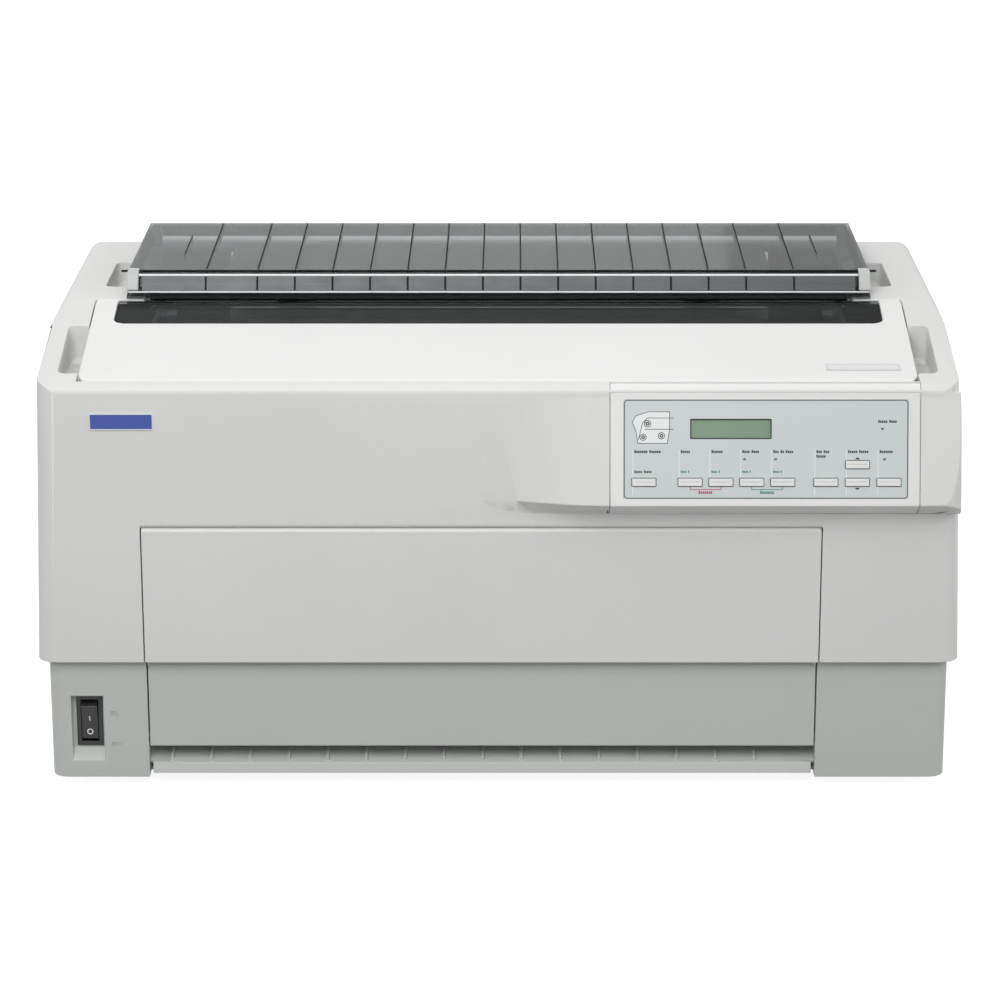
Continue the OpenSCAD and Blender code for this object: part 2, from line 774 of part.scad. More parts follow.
// Path of the bezel's face from its top to its lower edge, longer by extra at both ends
function bezel_path(extra) =
    [panel_top - (1.2 - extra) * unit(panel_top - panel_lip), panel_lip,
     panel_under + (1.6 - extra) * unit(panel_lip - panel_under)];

module panel_bezel() color(lid_colour) {
  difference() {
    across(bezel_left, bezel_right) polygon(sheet(bezel_path(0), 0, bezel_t));
    on_panel() {
      box([membrane_x0, membrane_s0, -recess_depth], [membrane_x1, membrane_s1, 1]);
      box([membrane_x0 + 3, membrane_s0 + 3, -bezel_t - 3], [membrane_x1 - 3, membrane_s1 - 3, 1]);
    }
  }
  // bosses that carry the board
  on_panel() for (x = [bezel_left + 9.5, bezel_right - 9.5 - 2.5], s = [8, 76])
    translate([x, s, -board_depth]) cylinder(r = boss_r, h = board_depth - bezel_t + 0.5);
}

module panel_membrane() color([0.8, 0.82, 0.83]) {
  on_panel() difference() {
    box([membrane_x0, membrane_s0, -recess_depth], [membrane_x1, membrane_s1, 0]);
    box([lcd_x0, lcd_s0, -2], [lcd_x1, lcd_s1, 1]);
    for (i = [0 : len(key_x) - 1])
      translate([key_x[i], key_s[i], -2]) linear_extrude(3)
        square([key_w + 2 * key_fit, key_h + 2 * key_fit], center = true);
  }
}

module lcd_display() color([0.5, 0.6, 0.5]) {
  on_panel() {
    box([lcd_x0 - 3, lcd_s0 - 3, -board_depth], [lcd_x1 + 3, lcd_s1 + 3, -recess_depth - 1.2]);
    box([lcd_x0 + 0.3, lcd_s0 + 0.3, -3], [lcd_x1 - 0.3, lcd_s1 - 0.3, -recess_depth - 0.6]);
  }
}

module control_board() color(board_colour) {
  on_panel() {
    box([membrane_x0 - 4, 5, -board_depth - board_t], [membrane_x1 + 3, 79, -board_depth]);
    // a flat push switch under each key
    for (i = [0 : len(key_x) - 1])
      translate([key_x[i] - 3, key_s[i] - 2.8, -board_depth]) cube([6, 5.6, switch_h]);
    // chips on the back
    for (x = [36, 76, 136])
      translate([bezel_left + x, 28, -board_depth - board_t - 3]) cube([22, 12, 3]);
  }
}

module panel_key(i) color([0.9, 0.91, 0.9]) {
  stem_end = -board_depth + switch_h + key_travel + soft_gap;
  on_panel() translate([key_x[i], key_s[i], 0]) difference() {
    union() {
      translate([-key_w / 2, -key_h / 2, -2]) cube([key_w, key_h, 2 + key_proud]);
      translate([-key_w / 2 - 1, -key_h / 2 - 1, -3]) cube([key_w + 2, key_h + 2, 1]);
      translate([-2, -1.5, stem_end]) cube([4, 3, -stem_end - 2]);
    }
    translate([-key_w / 2 + 2, -0.3, key_proud - 0.4]) cube([key_w - 4, 0.6, 1]);
  }
}

// Chassis

module chassis_plate() color(steel_colour) {
  box([-frame_out - 15, chassis_front_y, deck_z], [frame_out + 15, chassis_back_y, chassis_z]);
  // posts under the main board
  for (x = [-60, 240], y = [20, base_back_y - 33])
    translate([x, y, chassis_z - 0.5]) cylinder(r = 4, h = 13.5);
}

// Outline of a side frame, from its foot to the back, over the top and down its front
function frame_outline() =
    let (back = chassis_back_y - 1, front = guide_y, low = front_rod2_at[1])
    [[chassis_front_y, chassis_z], [back, chassis_z], [back, top_z - 46], [back - 15, top_z - 30],
     [0, top_z - 28], [-58, top_z - 30], [-64, top_z - 44], [front, top_z - 61],
     [front, low - 18], [chassis_front_y, low - 40]];

// One side frame with its foot, top flange, pulley bracket and bearing holes; s is -1 for the
// left and 1 for the right
module side_frame(s) {
  difference() {
    mirror([s > 0 ? 0 : 1, 0, 0]) {
      across(frame_in, frame_out) polygon(frame_outline());
      box([frame_in, chassis_front_y + 2, chassis_z],
          [frame_out + 14, chassis_back_y - 4, chassis_z + 2]);
      box([frame_in, -56, top_z - 33], [frame_out + 17, 0, top_z - 31]);
      box([pulley_x - 24, pulley_y - 26, bracket_z - bracket_t],
          [frame_in + 1, pulley_y + 26, bracket_z]);
    }
    for (at = [front_rod_at, rear_rod_at]) bar(-case_w, case_w, rod_r + running, at);
    for (at = [front_drive_at, rear_drive_at]) bar(-case_w, case_w, journal_r + running, at);
    for (at = [front_rod2_at, rear_rod2_at]) bar(-case_w, case_w, tractor_rod_r + running, at);
    bar(-case_w, case_w, platen_shaft_r + running, platen_at);
    if (s > 0) bar(0, case_w, 9, pinion_at);
    if (s < 0) translate([-pulley_x, pulley_y, bracket_z - 10]) cylinder(r = 8, h = 20);
  }
  // axle and collar of the idler pulley
  if (s > 0) translate([pulley_x, pulley_y, bracket_z - 1]) {
    cylinder(r = 3, h = pulley_z + pulley_h - bracket_z + 2);
    cylinder(r = 6, h = pulley_z - bracket_z + 1 - soft_gap);
  }
}

module left_side_frame() color(steel_colour) side_frame(-1);
module right_side_frame() color(steel_colour) side_frame(1);

module guide_rods() color(steel_colour) {
  for (at = [front_rod_at, rear_rod_at]) bar(-rod_end, rod_end, rod_r, at);
}

module tractor_rods() color(steel_colour) {
  for (at = [front_rod2_at, rear_rod2_at]) bar(-rod_end, rod_end, tractor_rod_r, at);
}

// Platen and feed drive

module platen_roller() color(dark_colour) {
  difference() {
    bar(-platen_l / 2, platen_l / 2, platen_r, platen_at);
    bar(-platen_l, platen_l, platen_shaft_r + running, platen_at);
  }
}

module platen_shaft() color(steel_colour) {
  bar(front_belt_x - 2, gear_x + gear_w + 2, platen_shaft_r, platen_at);
  bar(front_belt_x, front_belt_x + feed_belt_w, feed_pulley_r, platen_at);
  for (s = [0, 1]) mirror([s, 0, 0]) bar(frame_in - 3, frame_in - soft_gap, platen_shaft_r + 4, platen_at);
}

// Spur gear drawn around its own axis
module gear_shape(teeth, turn) {
  r = gear_module * teeth / 2;
  root = r - 1.2 * gear_module;
  tip = r + 0.95 * gear_module;
  step = 360 / teeth;
  half_root = step * 0.33;
  half_tip = step * 0.12;
  polygon([for (i = [0 : teeth - 1]) let (a = turn + i * step)
    each [root * [cos(a - half_root), sin(a - half_root)], tip * [cos(a - half_tip), sin(a - half_tip)],
          tip * [cos(a + half_tip), sin(a + half_tip)], root * [cos(a + half_root), sin(a + half_root)]]]);
}

module platen_gear() color([0.85, 0.85, 0.8]) {
  across(gear_x, gear_x + gear_w) translate(platen_at) difference() {
    gear_shape(platen_teeth, -pinion_drop);
    circle(r = platen_shaft_r + running);
  }
}

module feed_pinion() color([0.75, 0.65, 0.35]) {
  // a gap of the pinion faces the platen gear's tooth
  across(gear_x, gear_x + gear_w) translate(pinion_at)
    gear_shape(pinion_teeth, 180 - pinion_drop + 180 / pinion_teeth);
  bar(frame_in - 20, rear_belt_x + feed_belt_w, pinion_shaft_r, pinion_at);
  bar(rear_belt_x, rear_belt_x + feed_belt_w, pinion_pulley_r, pinion_at);
}

module feed_motor() color(dark_colour) {
  difference() {
    bar(frame_in - 45, frame_in, feed_motor_r, pinion_at);
    bar(frame_in - 24, frame_in + 1, pinion_shaft_r + running, pinion_at);
  }
}

// Toothed belt as a loop around two pulleys with the radii ra and rb
module belt_loop(a, b, ra, rb) {
  difference() {
    belt_area(a, b, ra + soft_gap + belt_t, rb + soft_gap + belt_t);
    belt_area(a, b, ra + soft_gap, rb + soft_gap);
  }
}

module belt_area(a, b, ra, rb) {
  d = b - a;
  turn = atan2(d[1], d[0]);
  touch = acos((ra - rb) / norm(d));
  translate(a) circle(r = ra);
  translate(b) circle(r = rb);
  polygon([for (end = [[a, ra, 1], [b, rb, 1], [b, rb, -1], [a, ra, -1]])
           end[0] + end[1] * [cos(turn + end[2] * touch), sin(turn + end[2] * touch)]]);
}

module feed_belts() color(dark_colour) {
  across(front_belt_x + 0.5, front_belt_x + feed_belt_w - 0.5)
    belt_loop(platen_at, front_drive_at, feed_pulley_r, feed_pulley_r);
  across(rear_belt_x + 0.5, rear_belt_x + feed_belt_w - 0.5)
    belt_loop(pinion_at, rear_drive_at, pinion_pulley_r, rear_pulley_r);
}

// Shaft that is square between its round journals, which end at x0 and x1
module drive_shaft(at, x0, x1) {
  across(-frame_in + 8, frame_in - 8) translate(at) square([square_w, square_w], center = true);
  bar(frame_in - 8.1, x1, journal_r, at);
  bar(x0, -frame_in + 8.1, journal_r, at);
}

module front_drive_shaft() color(steel_colour) {
  drive_shaft(front_drive_at, front_belt_x - 1, rod_end);
  bar(front_belt_x, front_belt_x + feed_belt_w, feed_pulley_r, front_drive_at);
}

module rear_drive_shaft() color(steel_colour) {
  drive_shaft(rear_drive_at, -rod_end, rear_belt_x + feed_belt_w + 1);
  bar(rear_belt_x, rear_belt_x + feed_belt_w, rear_pulley_r, rear_drive_at);
}

// Carriage

module carriage() color(dark_colour) {
  y0 = front_rod_at[0] - 9;
  y1 = rear_rod_at[0] + 12;
  run_y = pulley_y + pulley_r + soft_gap + belt_t / 2;
  difference() {
    union() {
      box([-carriage_w / 2, y0, carriage_low], [carriage_w / 2, y1, carriage_high]);
      // clamp that grips the belt
      box([-12, run_y - 4, belt_z - 1.5], [12, run_y + 4, carriage_low + 1]);
    }
    for (at = [front_rod_at, rear_rod_at]) bar(-carriage_w, carriage_w, rod_r + running, at);
    box([-carriage_w, run_y - belt_t / 2 - soft_gap, belt_z - 3],
        [carriage_w, run_y + belt_t / 2 + soft_gap, belt_z + belt_w + soft_gap]);
  }
}

module print_head() color([0.45, 0.46, 0.48]) {
  nose_tip = tape_y - tape_t - soft_gap - 0.3;
  translate([0, nose_tip, head_z]) rotate([90, 0, 0]) {
    cylinder(r = 6, h = 18.1);
    translate([0, 0, 18]) cylinder(r = 14, h = 10.1);
    translate([0, 0, 28]) cylinder(r = 20, h = 38);
    for (i = [0 : 4]) translate([0, 0, 30 + 7 * i]) cylinder(r = 23, h = 3);
  }
  box([-16, nose_tip - 64, carriage_high], [16, nose_tip - 30, head_z - 12]);
}

// Cartridge in front of the carriage; its two arms hold the ribbon in front of the platen
module ribbon_cartridge() color([0.2, 0.2, 0.21]) {
  y0 = front_rod_at[0] - 42;
  y1 = front_rod_at[0] - 12;
  arm_x = paper_half + 7;
  z0 = head_z - 22;
  z1 = head_z + 16;
  box([-arm_x - 20, y0, z0], [arm_x + 20, y1, z1]);
  for (s = [0, 1]) mirror([s, 0, 0]) {
    box([arm_x + 19, y0 + 6, z0 + 4], [frame_in - soft_gap, y1 - 6, z0 + 10]);
    box([arm_x, y1 - 1, head_z - 9], [arm_x + 9, tape_y + 1, head_z + 9]);
  }
  box([-arm_x - 1, tape_y - tape_t, head_z - 6.5], [arm_x + 1, tape_y, head_z + 6.5]);
  // winding knob
  translate([-arm_x - 8, (y0 + y1) / 2, z1 - 0.5]) cylinder(r = 9, h = 8.5);
}

// Area around both carriage pulleys
module stadium(r) {
  for (x = [-pulley_x, pulley_x]) translate([x, pulley_y]) circle(r = r);
  translate([-pulley_x, pulley_y - r]) square([2 * pulley_x, 2 * r]);
}

module carriage_belt() color(dark_colour) {
  translate([0, 0, belt_z]) linear_extrude(belt_w) difference() {
    stadium(pulley_r + soft_gap + belt_t);
    stadium(pulley_r + soft_gap);
  }
}

module belt_pulley() {
  cylinder(r = pulley_r, h = pulley_h);
  translate([0, 0, pulley_h - 1]) cylinder(r = pulley_r + 2, h = 1);
}

module drive_pulley() color(steel_colour) {
  translate([-pulley_x, pulley_y, 0]) {
    translate([0, 0, pulley_z]) belt_pulley();
    translate([0, 0, bracket_z - bracket_t - 20]) cylinder(r = 3, h = 30);
  }
}

module idler_pulley() color(steel_colour) {
  translate([pulley_x, pulley_y, pulley_z]) difference() {
    belt_pulley();
    translate([0, 0, -1]) cylinder(r = 3 + running, h = pulley_h + 2);
  }
}

module carriage_motor() color(dark_colour) {
  translate([-pulley_x, pulley_y, bracket_z - bracket_t - motor_l]) difference() {
    cylinder(r = motor_r, h = motor_l);
    translate([0, 0, motor_l - 22]) cylinder(r = 3 + running, h = 23);
  }
}

// Tractors: local x across the paper, y along it and z towards it

module at_front_tractor(x) {
  translate([x, front_tractor_at[0], front_tractor_at[1]]) rotate([90, 0, 0]) children();
}

module at_rear_tractor(x) {
  translate([x, rear_tractor_at[0], rear_tractor_at[1]]) rotate([0, 0, 180]) children();
}

// side is the side of the flap's hinge
module tractor_housing(side) color(base_colour) {
  half_t = tractor_t / 2;
  reach = tractor_l / 2 - half_t;
  difference() {
    union() {
      translate([-tractor_w / 2, 0, 0]) rotate([90, 0, 90]) linear_extrude(tractor_w) {
        for (y = [-reach, reach]) translate([y, 0]) circle(r = half_t);
        translate([-reach, -half_t]) square([2 * reach, tractor_t]);
      }
      // sprocket pins that engage the paper's holes
      for (i = [-2 : 2])
        translate([0, i * 12.7, half_t - 1]) cylinder(r = 1.8, h = 2.8);
      // ears for the flap's pin
      for (y = [-18, 18])
        translate([side > 0 ? tractor_w / 2 - 1 : -flap_axis_x - 3, y - ear_l / 2, half_t - 7])
          cube([flap_axis_x + 4 - tractor_w / 2, ear_l, 10.5]);
    }
    // the square shaft turns in a round hub
    translate([-50, shaft_reach, 0]) rotate([0, 90, 0])
      cylinder(r = square_w * 0.7072 + soft_gap, h = 100);
    translate([-50, -shaft_reach, 0]) rotate([0, 90, 0])
      cylinder(r = tractor_rod_r + running, h = 100);
    translate([side * flap_axis_x, -50, flap_axis_z]) rotate([-90, 0, 0])
      cylinder(r = flap_pin_r + running, h = 100);
  }
}

// Hinged flap that holds the paper down on the pins
module tractor_flap(side) color(dark_colour) {
  z = tractor_t / 2 + 2.2;
  x0 = side > 0 ? -tractor_w / 2 - 2 : -flap_axis_x;
  translate([side * flap_axis_x, -22.5, flap_axis_z]) rotate([-90, 0, 0])
    cylinder(r = flap_pin_r, h = 45);
  difference() {
    union() {
      translate([x0, -30, z]) cube([flap_axis_x + tractor_w / 2 + 2, 60, flap_t]);
      translate([side * flap_axis_x - 1.4, -12, flap_axis_z]) cube([2.8, 24, z - flap_axis_z + 0.5]);
    }
    translate([-2.6, -28.5, z - 1]) cube([5.2, 57, flap_t + 2]);
    for (y = [-18, 18])
      translate([side > 0 ? tractor_w / 2 - 2 : -flap_axis_x - 4, y - ear_l / 2 - 0.5, z - 1])
        cube([10, ear_l + 1, flap_t + 2]);
  }
}

module front_left_tractor() at_front_tractor(-tractor_x) tractor_housing(-1);
module front_right_tractor() at_front_tractor(tractor_x) tractor_housing(1);
module rear_left_tractor() at_rear_tractor(-tractor_x) tractor_housing(1);
module rear_right_tractor() at_rear_tractor(tractor_x) tractor_housing(-1);
module front_left_flap() at_front_tractor(-tractor_x) tractor_flap(-1);
module front_right_flap() at_front_tractor(tractor_x) tractor_flap(1);
module rear_left_flap() at_rear_tractor(-tractor_x) tractor_flap(1);
module rear_right_flap() at_rear_tractor(tractor_x) tractor_flap(-1);

// Paper guides, whose paths are given from the platen's axis

module front_paper_guide() color(steel_colour) {
  path = [for (p = [[-163, -82], [-157, -75], [-52, -70], [-34, -62], [-27, -46], [-24, -30]])
          platen_at + p];
  slope = (path[2] - path[1]) / (path[2][0] - path[1][0]);
  across(-paper_half, paper_half) polygon(sheet(path, 0, -1.2));
  across(-frame_in, frame_in) polygon(sheet([path[1] + 6 * slope, path[1] + 24 * slope], 0, -1.2));
}

module rear_paper_guide() color(steel_colour) {
  path = [for (p = [[56, 40], [46, 32], [40, -10], [28, -28], [12, -35], [-12, -36]])
          platen_at + p];
  steep = unit(path[2] - path[1]);
  across(-paper_half, paper_half) polygon(sheet(path, 0, -1.2));
  across(-frame_in, frame_in) polygon(sheet([path[1] + 5 * steep, path[1] + 20 * steep], 0, -1.2));
}

// Electronics

module power_supply() color([0.72, 0.73, 0.74]) {
  box([-250, 10, chassis_z], [-100, base_back_y - 33, chassis_z + 79]);
}

module main_board() color(board_colour) {
  z = chassis_z + 13;
  box([-80, 10, z], [250, base_back_y - 20, z + board_t]);
  // three chips and a row of capacitors
  for (at = [[-40, 40], [40, 90], [120, 60]])
    translate([at[0], at[1], z + 1.5]) cube([34, 34, 3.5]);
  for (i = [0 : 2]) translate([190 + 20 * i, 120, z + 1.5]) cylinder(r = 8, h = 24);
}

base_case();
rubber_feet();
upper_case();
front_cover();
paper_entry_guide();
top_lid();
lid_window();
rear_cover();
cover_grips();
exit_guide();
badge_plate();
name_plate();
switch_frame();
power_rocker();
rear_panel();
panel_bezel();
panel_membrane();
lcd_display();
control_board();
panel_key(0);  // tractor_select_key
panel_key(1);  // font_key
panel_key(2);  // pitch_key
panel_key(3);  // tear_off_key
panel_key(4);  // top_of_form_key
panel_key(5);  // load_key
panel_key(6);  // feed_up_key
panel_key(7);  // feed_down_key
panel_key(8);  // pause_key
chassis_plate();
left_side_frame();
right_side_frame();
guide_rods();
tractor_rods();
platen_roller();
platen_shaft();
platen_gear();
feed_motor();
feed_pinion();
feed_belts();
carriage();
print_head();
ribbon_cartridge();
carriage_belt();
drive_pulley();
idler_pulley();
carriage_motor();
front_drive_shaft();
rear_drive_shaft();
front_left_tractor();
front_right_tractor();
rear_left_tractor();
rear_right_tractor();
front_left_flap();
front_right_flap();
rear_left_flap();
rear_right_flap();
front_paper_guide();
rear_paper_guide();
power_supply();
main_board();
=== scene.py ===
# Looks of a wide dot matrix printer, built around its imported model.
# Shapes are given in millimetres: x to the right, y to the back, z up.
import bpy
import bmesh
import json
import math
from mathutils import Matrix, Vector


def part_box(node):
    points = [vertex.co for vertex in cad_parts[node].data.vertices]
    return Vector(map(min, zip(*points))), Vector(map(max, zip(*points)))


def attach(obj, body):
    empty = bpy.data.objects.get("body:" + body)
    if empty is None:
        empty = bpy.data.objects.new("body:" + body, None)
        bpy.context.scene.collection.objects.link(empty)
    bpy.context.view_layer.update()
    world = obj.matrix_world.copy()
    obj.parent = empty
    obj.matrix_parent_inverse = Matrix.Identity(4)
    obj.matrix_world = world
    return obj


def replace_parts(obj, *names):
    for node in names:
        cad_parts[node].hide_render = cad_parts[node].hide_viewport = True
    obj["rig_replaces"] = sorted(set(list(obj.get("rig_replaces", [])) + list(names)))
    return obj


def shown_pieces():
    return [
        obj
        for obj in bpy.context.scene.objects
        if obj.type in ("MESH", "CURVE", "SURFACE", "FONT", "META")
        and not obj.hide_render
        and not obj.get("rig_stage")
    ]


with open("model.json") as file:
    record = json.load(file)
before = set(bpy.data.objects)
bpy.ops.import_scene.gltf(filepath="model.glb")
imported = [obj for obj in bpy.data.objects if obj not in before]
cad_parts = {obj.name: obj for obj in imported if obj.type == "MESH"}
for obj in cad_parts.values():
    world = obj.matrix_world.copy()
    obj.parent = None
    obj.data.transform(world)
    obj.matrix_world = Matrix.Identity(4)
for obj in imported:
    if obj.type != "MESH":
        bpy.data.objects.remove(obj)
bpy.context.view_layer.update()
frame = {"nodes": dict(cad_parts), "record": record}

nodes = frame["nodes"]
mm = 0.001


def boxOf(node):
    low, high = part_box(node)
    return low / mm, high / mm


# Finishes

def linear(colour):
    # sRGB from 0 to 255 into the linear colour that a shader takes
    shares = [c / 255 for c in colour]
    return tuple(s / 12.92 if s <= 0.04045 else ((s + 0.055) / 1.055) ** 2.4 for s in shares)


def newFinish(name):
    finish = bpy.data.materials.new(name)
    finish.use_nodes = True
    tree = finish.node_tree
    return finish, tree, tree.nodes["Principled BSDF"]


def objectCoords(tree, stretch=(1, 1, 1)):
    source = tree.nodes.new("ShaderNodeTexCoord")
    mapping = tree.nodes.new("ShaderNodeMapping")
    mapping.inputs["Scale"].default_value = stretch
    tree.links.new(source.outputs["Object"], mapping.inputs["Vector"])
    return mapping.outputs["Vector"]


def noise(tree, coords, scale, detail=3.0):
    node = tree.nodes.new("ShaderNodeTexNoise")
    node.inputs["Scale"].default_value = scale
    node.inputs["Detail"].default_value = detail
    tree.links.new(coords, node.inputs["Vector"])
    return node.outputs["Fac"]


def ramp(tree, value, stops):
    # stops are (place, colour) pairs
    node = tree.nodes.new("ShaderNodeValToRGB")
    band = node.color_ramp
    for place, colour in stops[2:]:
        band.elements.new(place)
    for element, (place, colour) in zip(sorted(band.elements, key=lambda e: e.position), stops):
        element.position = place
        element.color = (*colour, 1)
    tree.links.new(value, node.inputs["Fac"])
    return node.outputs["Color"]


def spread(tree, value, low, high):
    node = tree.nodes.new("ShaderNodeMapRange")
    node.inputs["From Min"].default_value = 0.3
    node.inputs["From Max"].default_value = 0.7
    node.inputs["To Min"].default_value = low
    node.inputs["To Max"].default_value = high
    tree.links.new(value, node.inputs["Value"])
    return node.outputs["Result"]


def bump(tree, shader, height, strength, depth):
    node = tree.nodes.new("ShaderNodeBump")
    node.inputs["Strength"].default_value = strength
    node.inputs["Distance"].default_value = depth * mm
    tree.links.new(height, node.inputs["Height"])
    tree.links.new(node.outputs["Normal"], shader.inputs["Normal"])


def tinted(colour, share):
    return tuple(min(1.0, c * share) for c in colour)


def tint(tree, shader, value, colour, dark, bright, places=(0.3, 0.7)):
    # the colour drifts between two shares of itself
    base = linear(colour)
    drift = ramp(tree, value, [(places[0], tinted(base, dark)), (places[1], tinted(base, bright))])
    tree.links.new(drift, shader.inputs["Base Color"])


def gloss(tree, shader, value, low, high):
    tree.links.new(spread(tree, value, low, high), shader.inputs["Roughness"])


def mouldedPlastic(name, colour, grain=900, depth=0.05, rough=0.5, shift=0.015):
    # spark-eroded plastic: a fine grain, a slow drift in colour and in gloss
    finish, tree, shader = newFinish(name)
    coords = objectCoords(tree)
    tint(tree, shader, noise(tree, coords, 7), colour, 1 - shift, 1 + shift)
    gloss(tree, shader, noise(tree, coords, 26), rough - 0.04, rough + 0.04)
    bump(tree, shader, noise(tree, coords, grain, 2), 0.25, depth)
    return finish


def smokedPlastic(name, colour, clear, rough=0.06):
    # tinted clear plastic with faint moulding flow and wiping marks
    finish, tree, shader = newFinish(name)
    coords = objectCoords(tree, (1, 6, 6))
    tint(tree, shader, noise(tree, coords, 5), colour, 0.97, 1.03)
    gloss(tree, shader, noise(tree, coords, 40), rough - 0.01, rough + 0.02)
    shader.inputs["Transmission Weight"].default_value = clear
    shader.inputs["IOR"].default_value = 1.12
    return finish


def sheetSteel(name, colour, rough=0.36, spangle=70):
    # zinc plated sheet with a crystalline spangle
    finish, tree, shader = newFinish(name)
    coords = objectCoords(tree)
    cells = tree.nodes.new("ShaderNodeTexVoronoi")
    cells.inputs["Scale"].default_value = spangle
    tree.links.new(coords, cells.inputs["Vector"])
    grey = tree.nodes.new("ShaderNodeRGBToBW")
    tree.links.new(cells.outputs["Color"], grey.inputs["Color"])
    tint(tree, shader, grey.outputs["Val"], colour, 0.88, 1.08, (0.1, 0.9))
    gloss(tree, shader, grey.outputs["Val"], rough - 0.06, rough + 0.08)
    bump(tree, shader, noise(tree, coords, 500), 0.12, 0.02)
    shader.inputs["Metallic"].default_value = 0.85
    return finish


def turnedSteel(name, colour, rough=0.2, stretch=(1, 260, 260)):
    # ground bar with fine grinding lines round it
    finish, tree, shader = newFinish(name)
    lines = noise(tree, objectCoords(tree, stretch), 9, 4)
    tint(tree, shader, lines, colour, 0.85, 1.1)
    gloss(tree, shader, lines, rough - 0.05, rough + 0.1)
    shader.inputs["Metallic"].default_value = 1.0
    return finish


def softRubber(name, colour, rough=0.7):
    # rubber with a little pale dust in its pores
    finish, tree, shader = newFinish(name)
    coords = objectCoords(tree)
    tint(tree, shader, noise(tree, coords, 35), colour, 1.0, 1.7, (0.35, 0.8))
    gloss(tree, shader, noise(tree, coords, 90), rough - 0.08, rough + 0.08)
    bump(tree, shader, noise(tree, coords, 1500), 0.2, 0.03)
    return finish


def circuitBoard(name, colour):
    # solder mask over copper tracks, which run as fine stepped lines
    finish, tree, shader = newFinish(name)
    coords = objectCoords(tree)
    tracks = tree.nodes.new("ShaderNodeTexBrick")
    tracks.inputs["Scale"].default_value = 160
    tracks.inputs["Mortar Size"].default_value = 0.012
    tracks.inputs["Bias"].default_value = -0.4
    base = linear(colour)
    for part, share in (("Color1", 1.0), ("Color2", 0.9), ("Mortar", 1.9)):
        tracks.inputs[part].default_value = (*tinted(base, share), 1)
    tree.links.new(coords, tracks.inputs["Vector"])
    tree.links.new(tracks.outputs["Color"], shader.inputs["Base Color"])
    gloss(tree, shader, noise(tree, coords, 60), 0.28, 0.4)
    bump(tree, shader, tracks.outputs["Fac"], 0.15, 0.02)
    return finish


def satinPaint(name, colour, rough=0.35):
    # an even paint or print
    finish, tree, shader = newFinish(name)
    coords = objectCoords(tree)
    tint(tree, shader, noise(tree, coords, 14), colour, 0.96, 1.04)
    gloss(tree, shader, noise(tree, coords, 60), rough - 0.05, rough + 0.05)
    bump(tree, shader, noise(tree, coords, 700), 0.1, 0.02)
    return finish


def wovenRibbon(name, colour):
    # inked nylon: a fine plain weave
    finish, tree, shader = newFinish(name)
    weave = tree.nodes.new("ShaderNodeTexWave")
    weave.inputs["Scale"].default_value = 420
    weave.inputs["Distortion"].default_value = 1.5
    tree.links.new(objectCoords(tree), weave.inputs["Vector"])
    tint(tree, shader, weave.outputs["Fac"], colour, 0.7, 1.5, (0.0, 1.0))
    bump(tree, shader, weave.outputs["Fac"], 0.4, 0.05)
    shader.inputs["Roughness"].default_value = 0.75
    return finish


finishes = {
    "case_plastic": mouldedPlastic("casePlastic", (226, 227, 225)),
    "cover_plastic": mouldedPlastic("coverPlastic", (226, 227, 225)),
    "lid_plastic": mouldedPlastic("lidPlastic", (236, 236, 235)),
    "base_plastic": mouldedPlastic("basePlastic", (198, 202, 198)),
    "key_plastic": mouldedPlastic("keyPlastic", (234, 235, 233), grain=1400, depth=0.02, rough=0.42),
    "guide_plastic": mouldedPlastic("guidePlastic", (215, 211, 200)),
    "black_plastic": mouldedPlastic("blackPlastic", (38, 38, 40), rough=0.4, shift=0.06),
    "cartridge_plastic": mouldedPlastic("cartridgePlastic", (46, 47, 49), rough=0.55, shift=0.05),
    "tractor_plastic": mouldedPlastic("tractorPlastic", (168, 170, 168), rough=0.5),
    "white_nylon": mouldedPlastic("whiteNylon", (226, 224, 214), rough=0.38, shift=0.03),
    "smoked_plastic": smokedPlastic("smokedPlastic", (124, 129, 129), 0.98, rough=0.03),
    "foot_rubber": softRubber("footRubber", (44, 44, 46)),
    "platen_rubber": softRubber("platenRubber", (34, 34, 36), rough=0.55),
    "belt_rubber": softRubber("beltRubber", (36, 36, 37)),
    "zinc_steel": sheetSteel("zincSteel", (196, 199, 203)),
    "ground_steel": turnedSteel("groundSteel", (205, 207, 211)),
    "brass": turnedSteel("turnedBrass", (206, 172, 98), rough=0.28),
    "head_aluminium": sheetSteel("headAluminium", (168, 170, 174), rough=0.5, spangle=900),
    "motor_black": satinPaint("motorBlack", (40, 40, 42)),
    "circuit_board": circuitBoard("circuitBoard", (30, 92, 58)),
    "membrane_film": mouldedPlastic("membraneFilm", (212, 217, 218), grain=2200, depth=0.01, rough=0.36),
    "lcd_glass": satinPaint("displayGlass", (136, 158, 136), rough=0.16),
    "badge_blue": satinPaint("badgeBlue", (64, 86, 168), rough=0.3),
    "plate_silver": mouldedPlastic("plateSilver", (226, 227, 228), grain=2200, depth=0.01, rough=0.42),
}
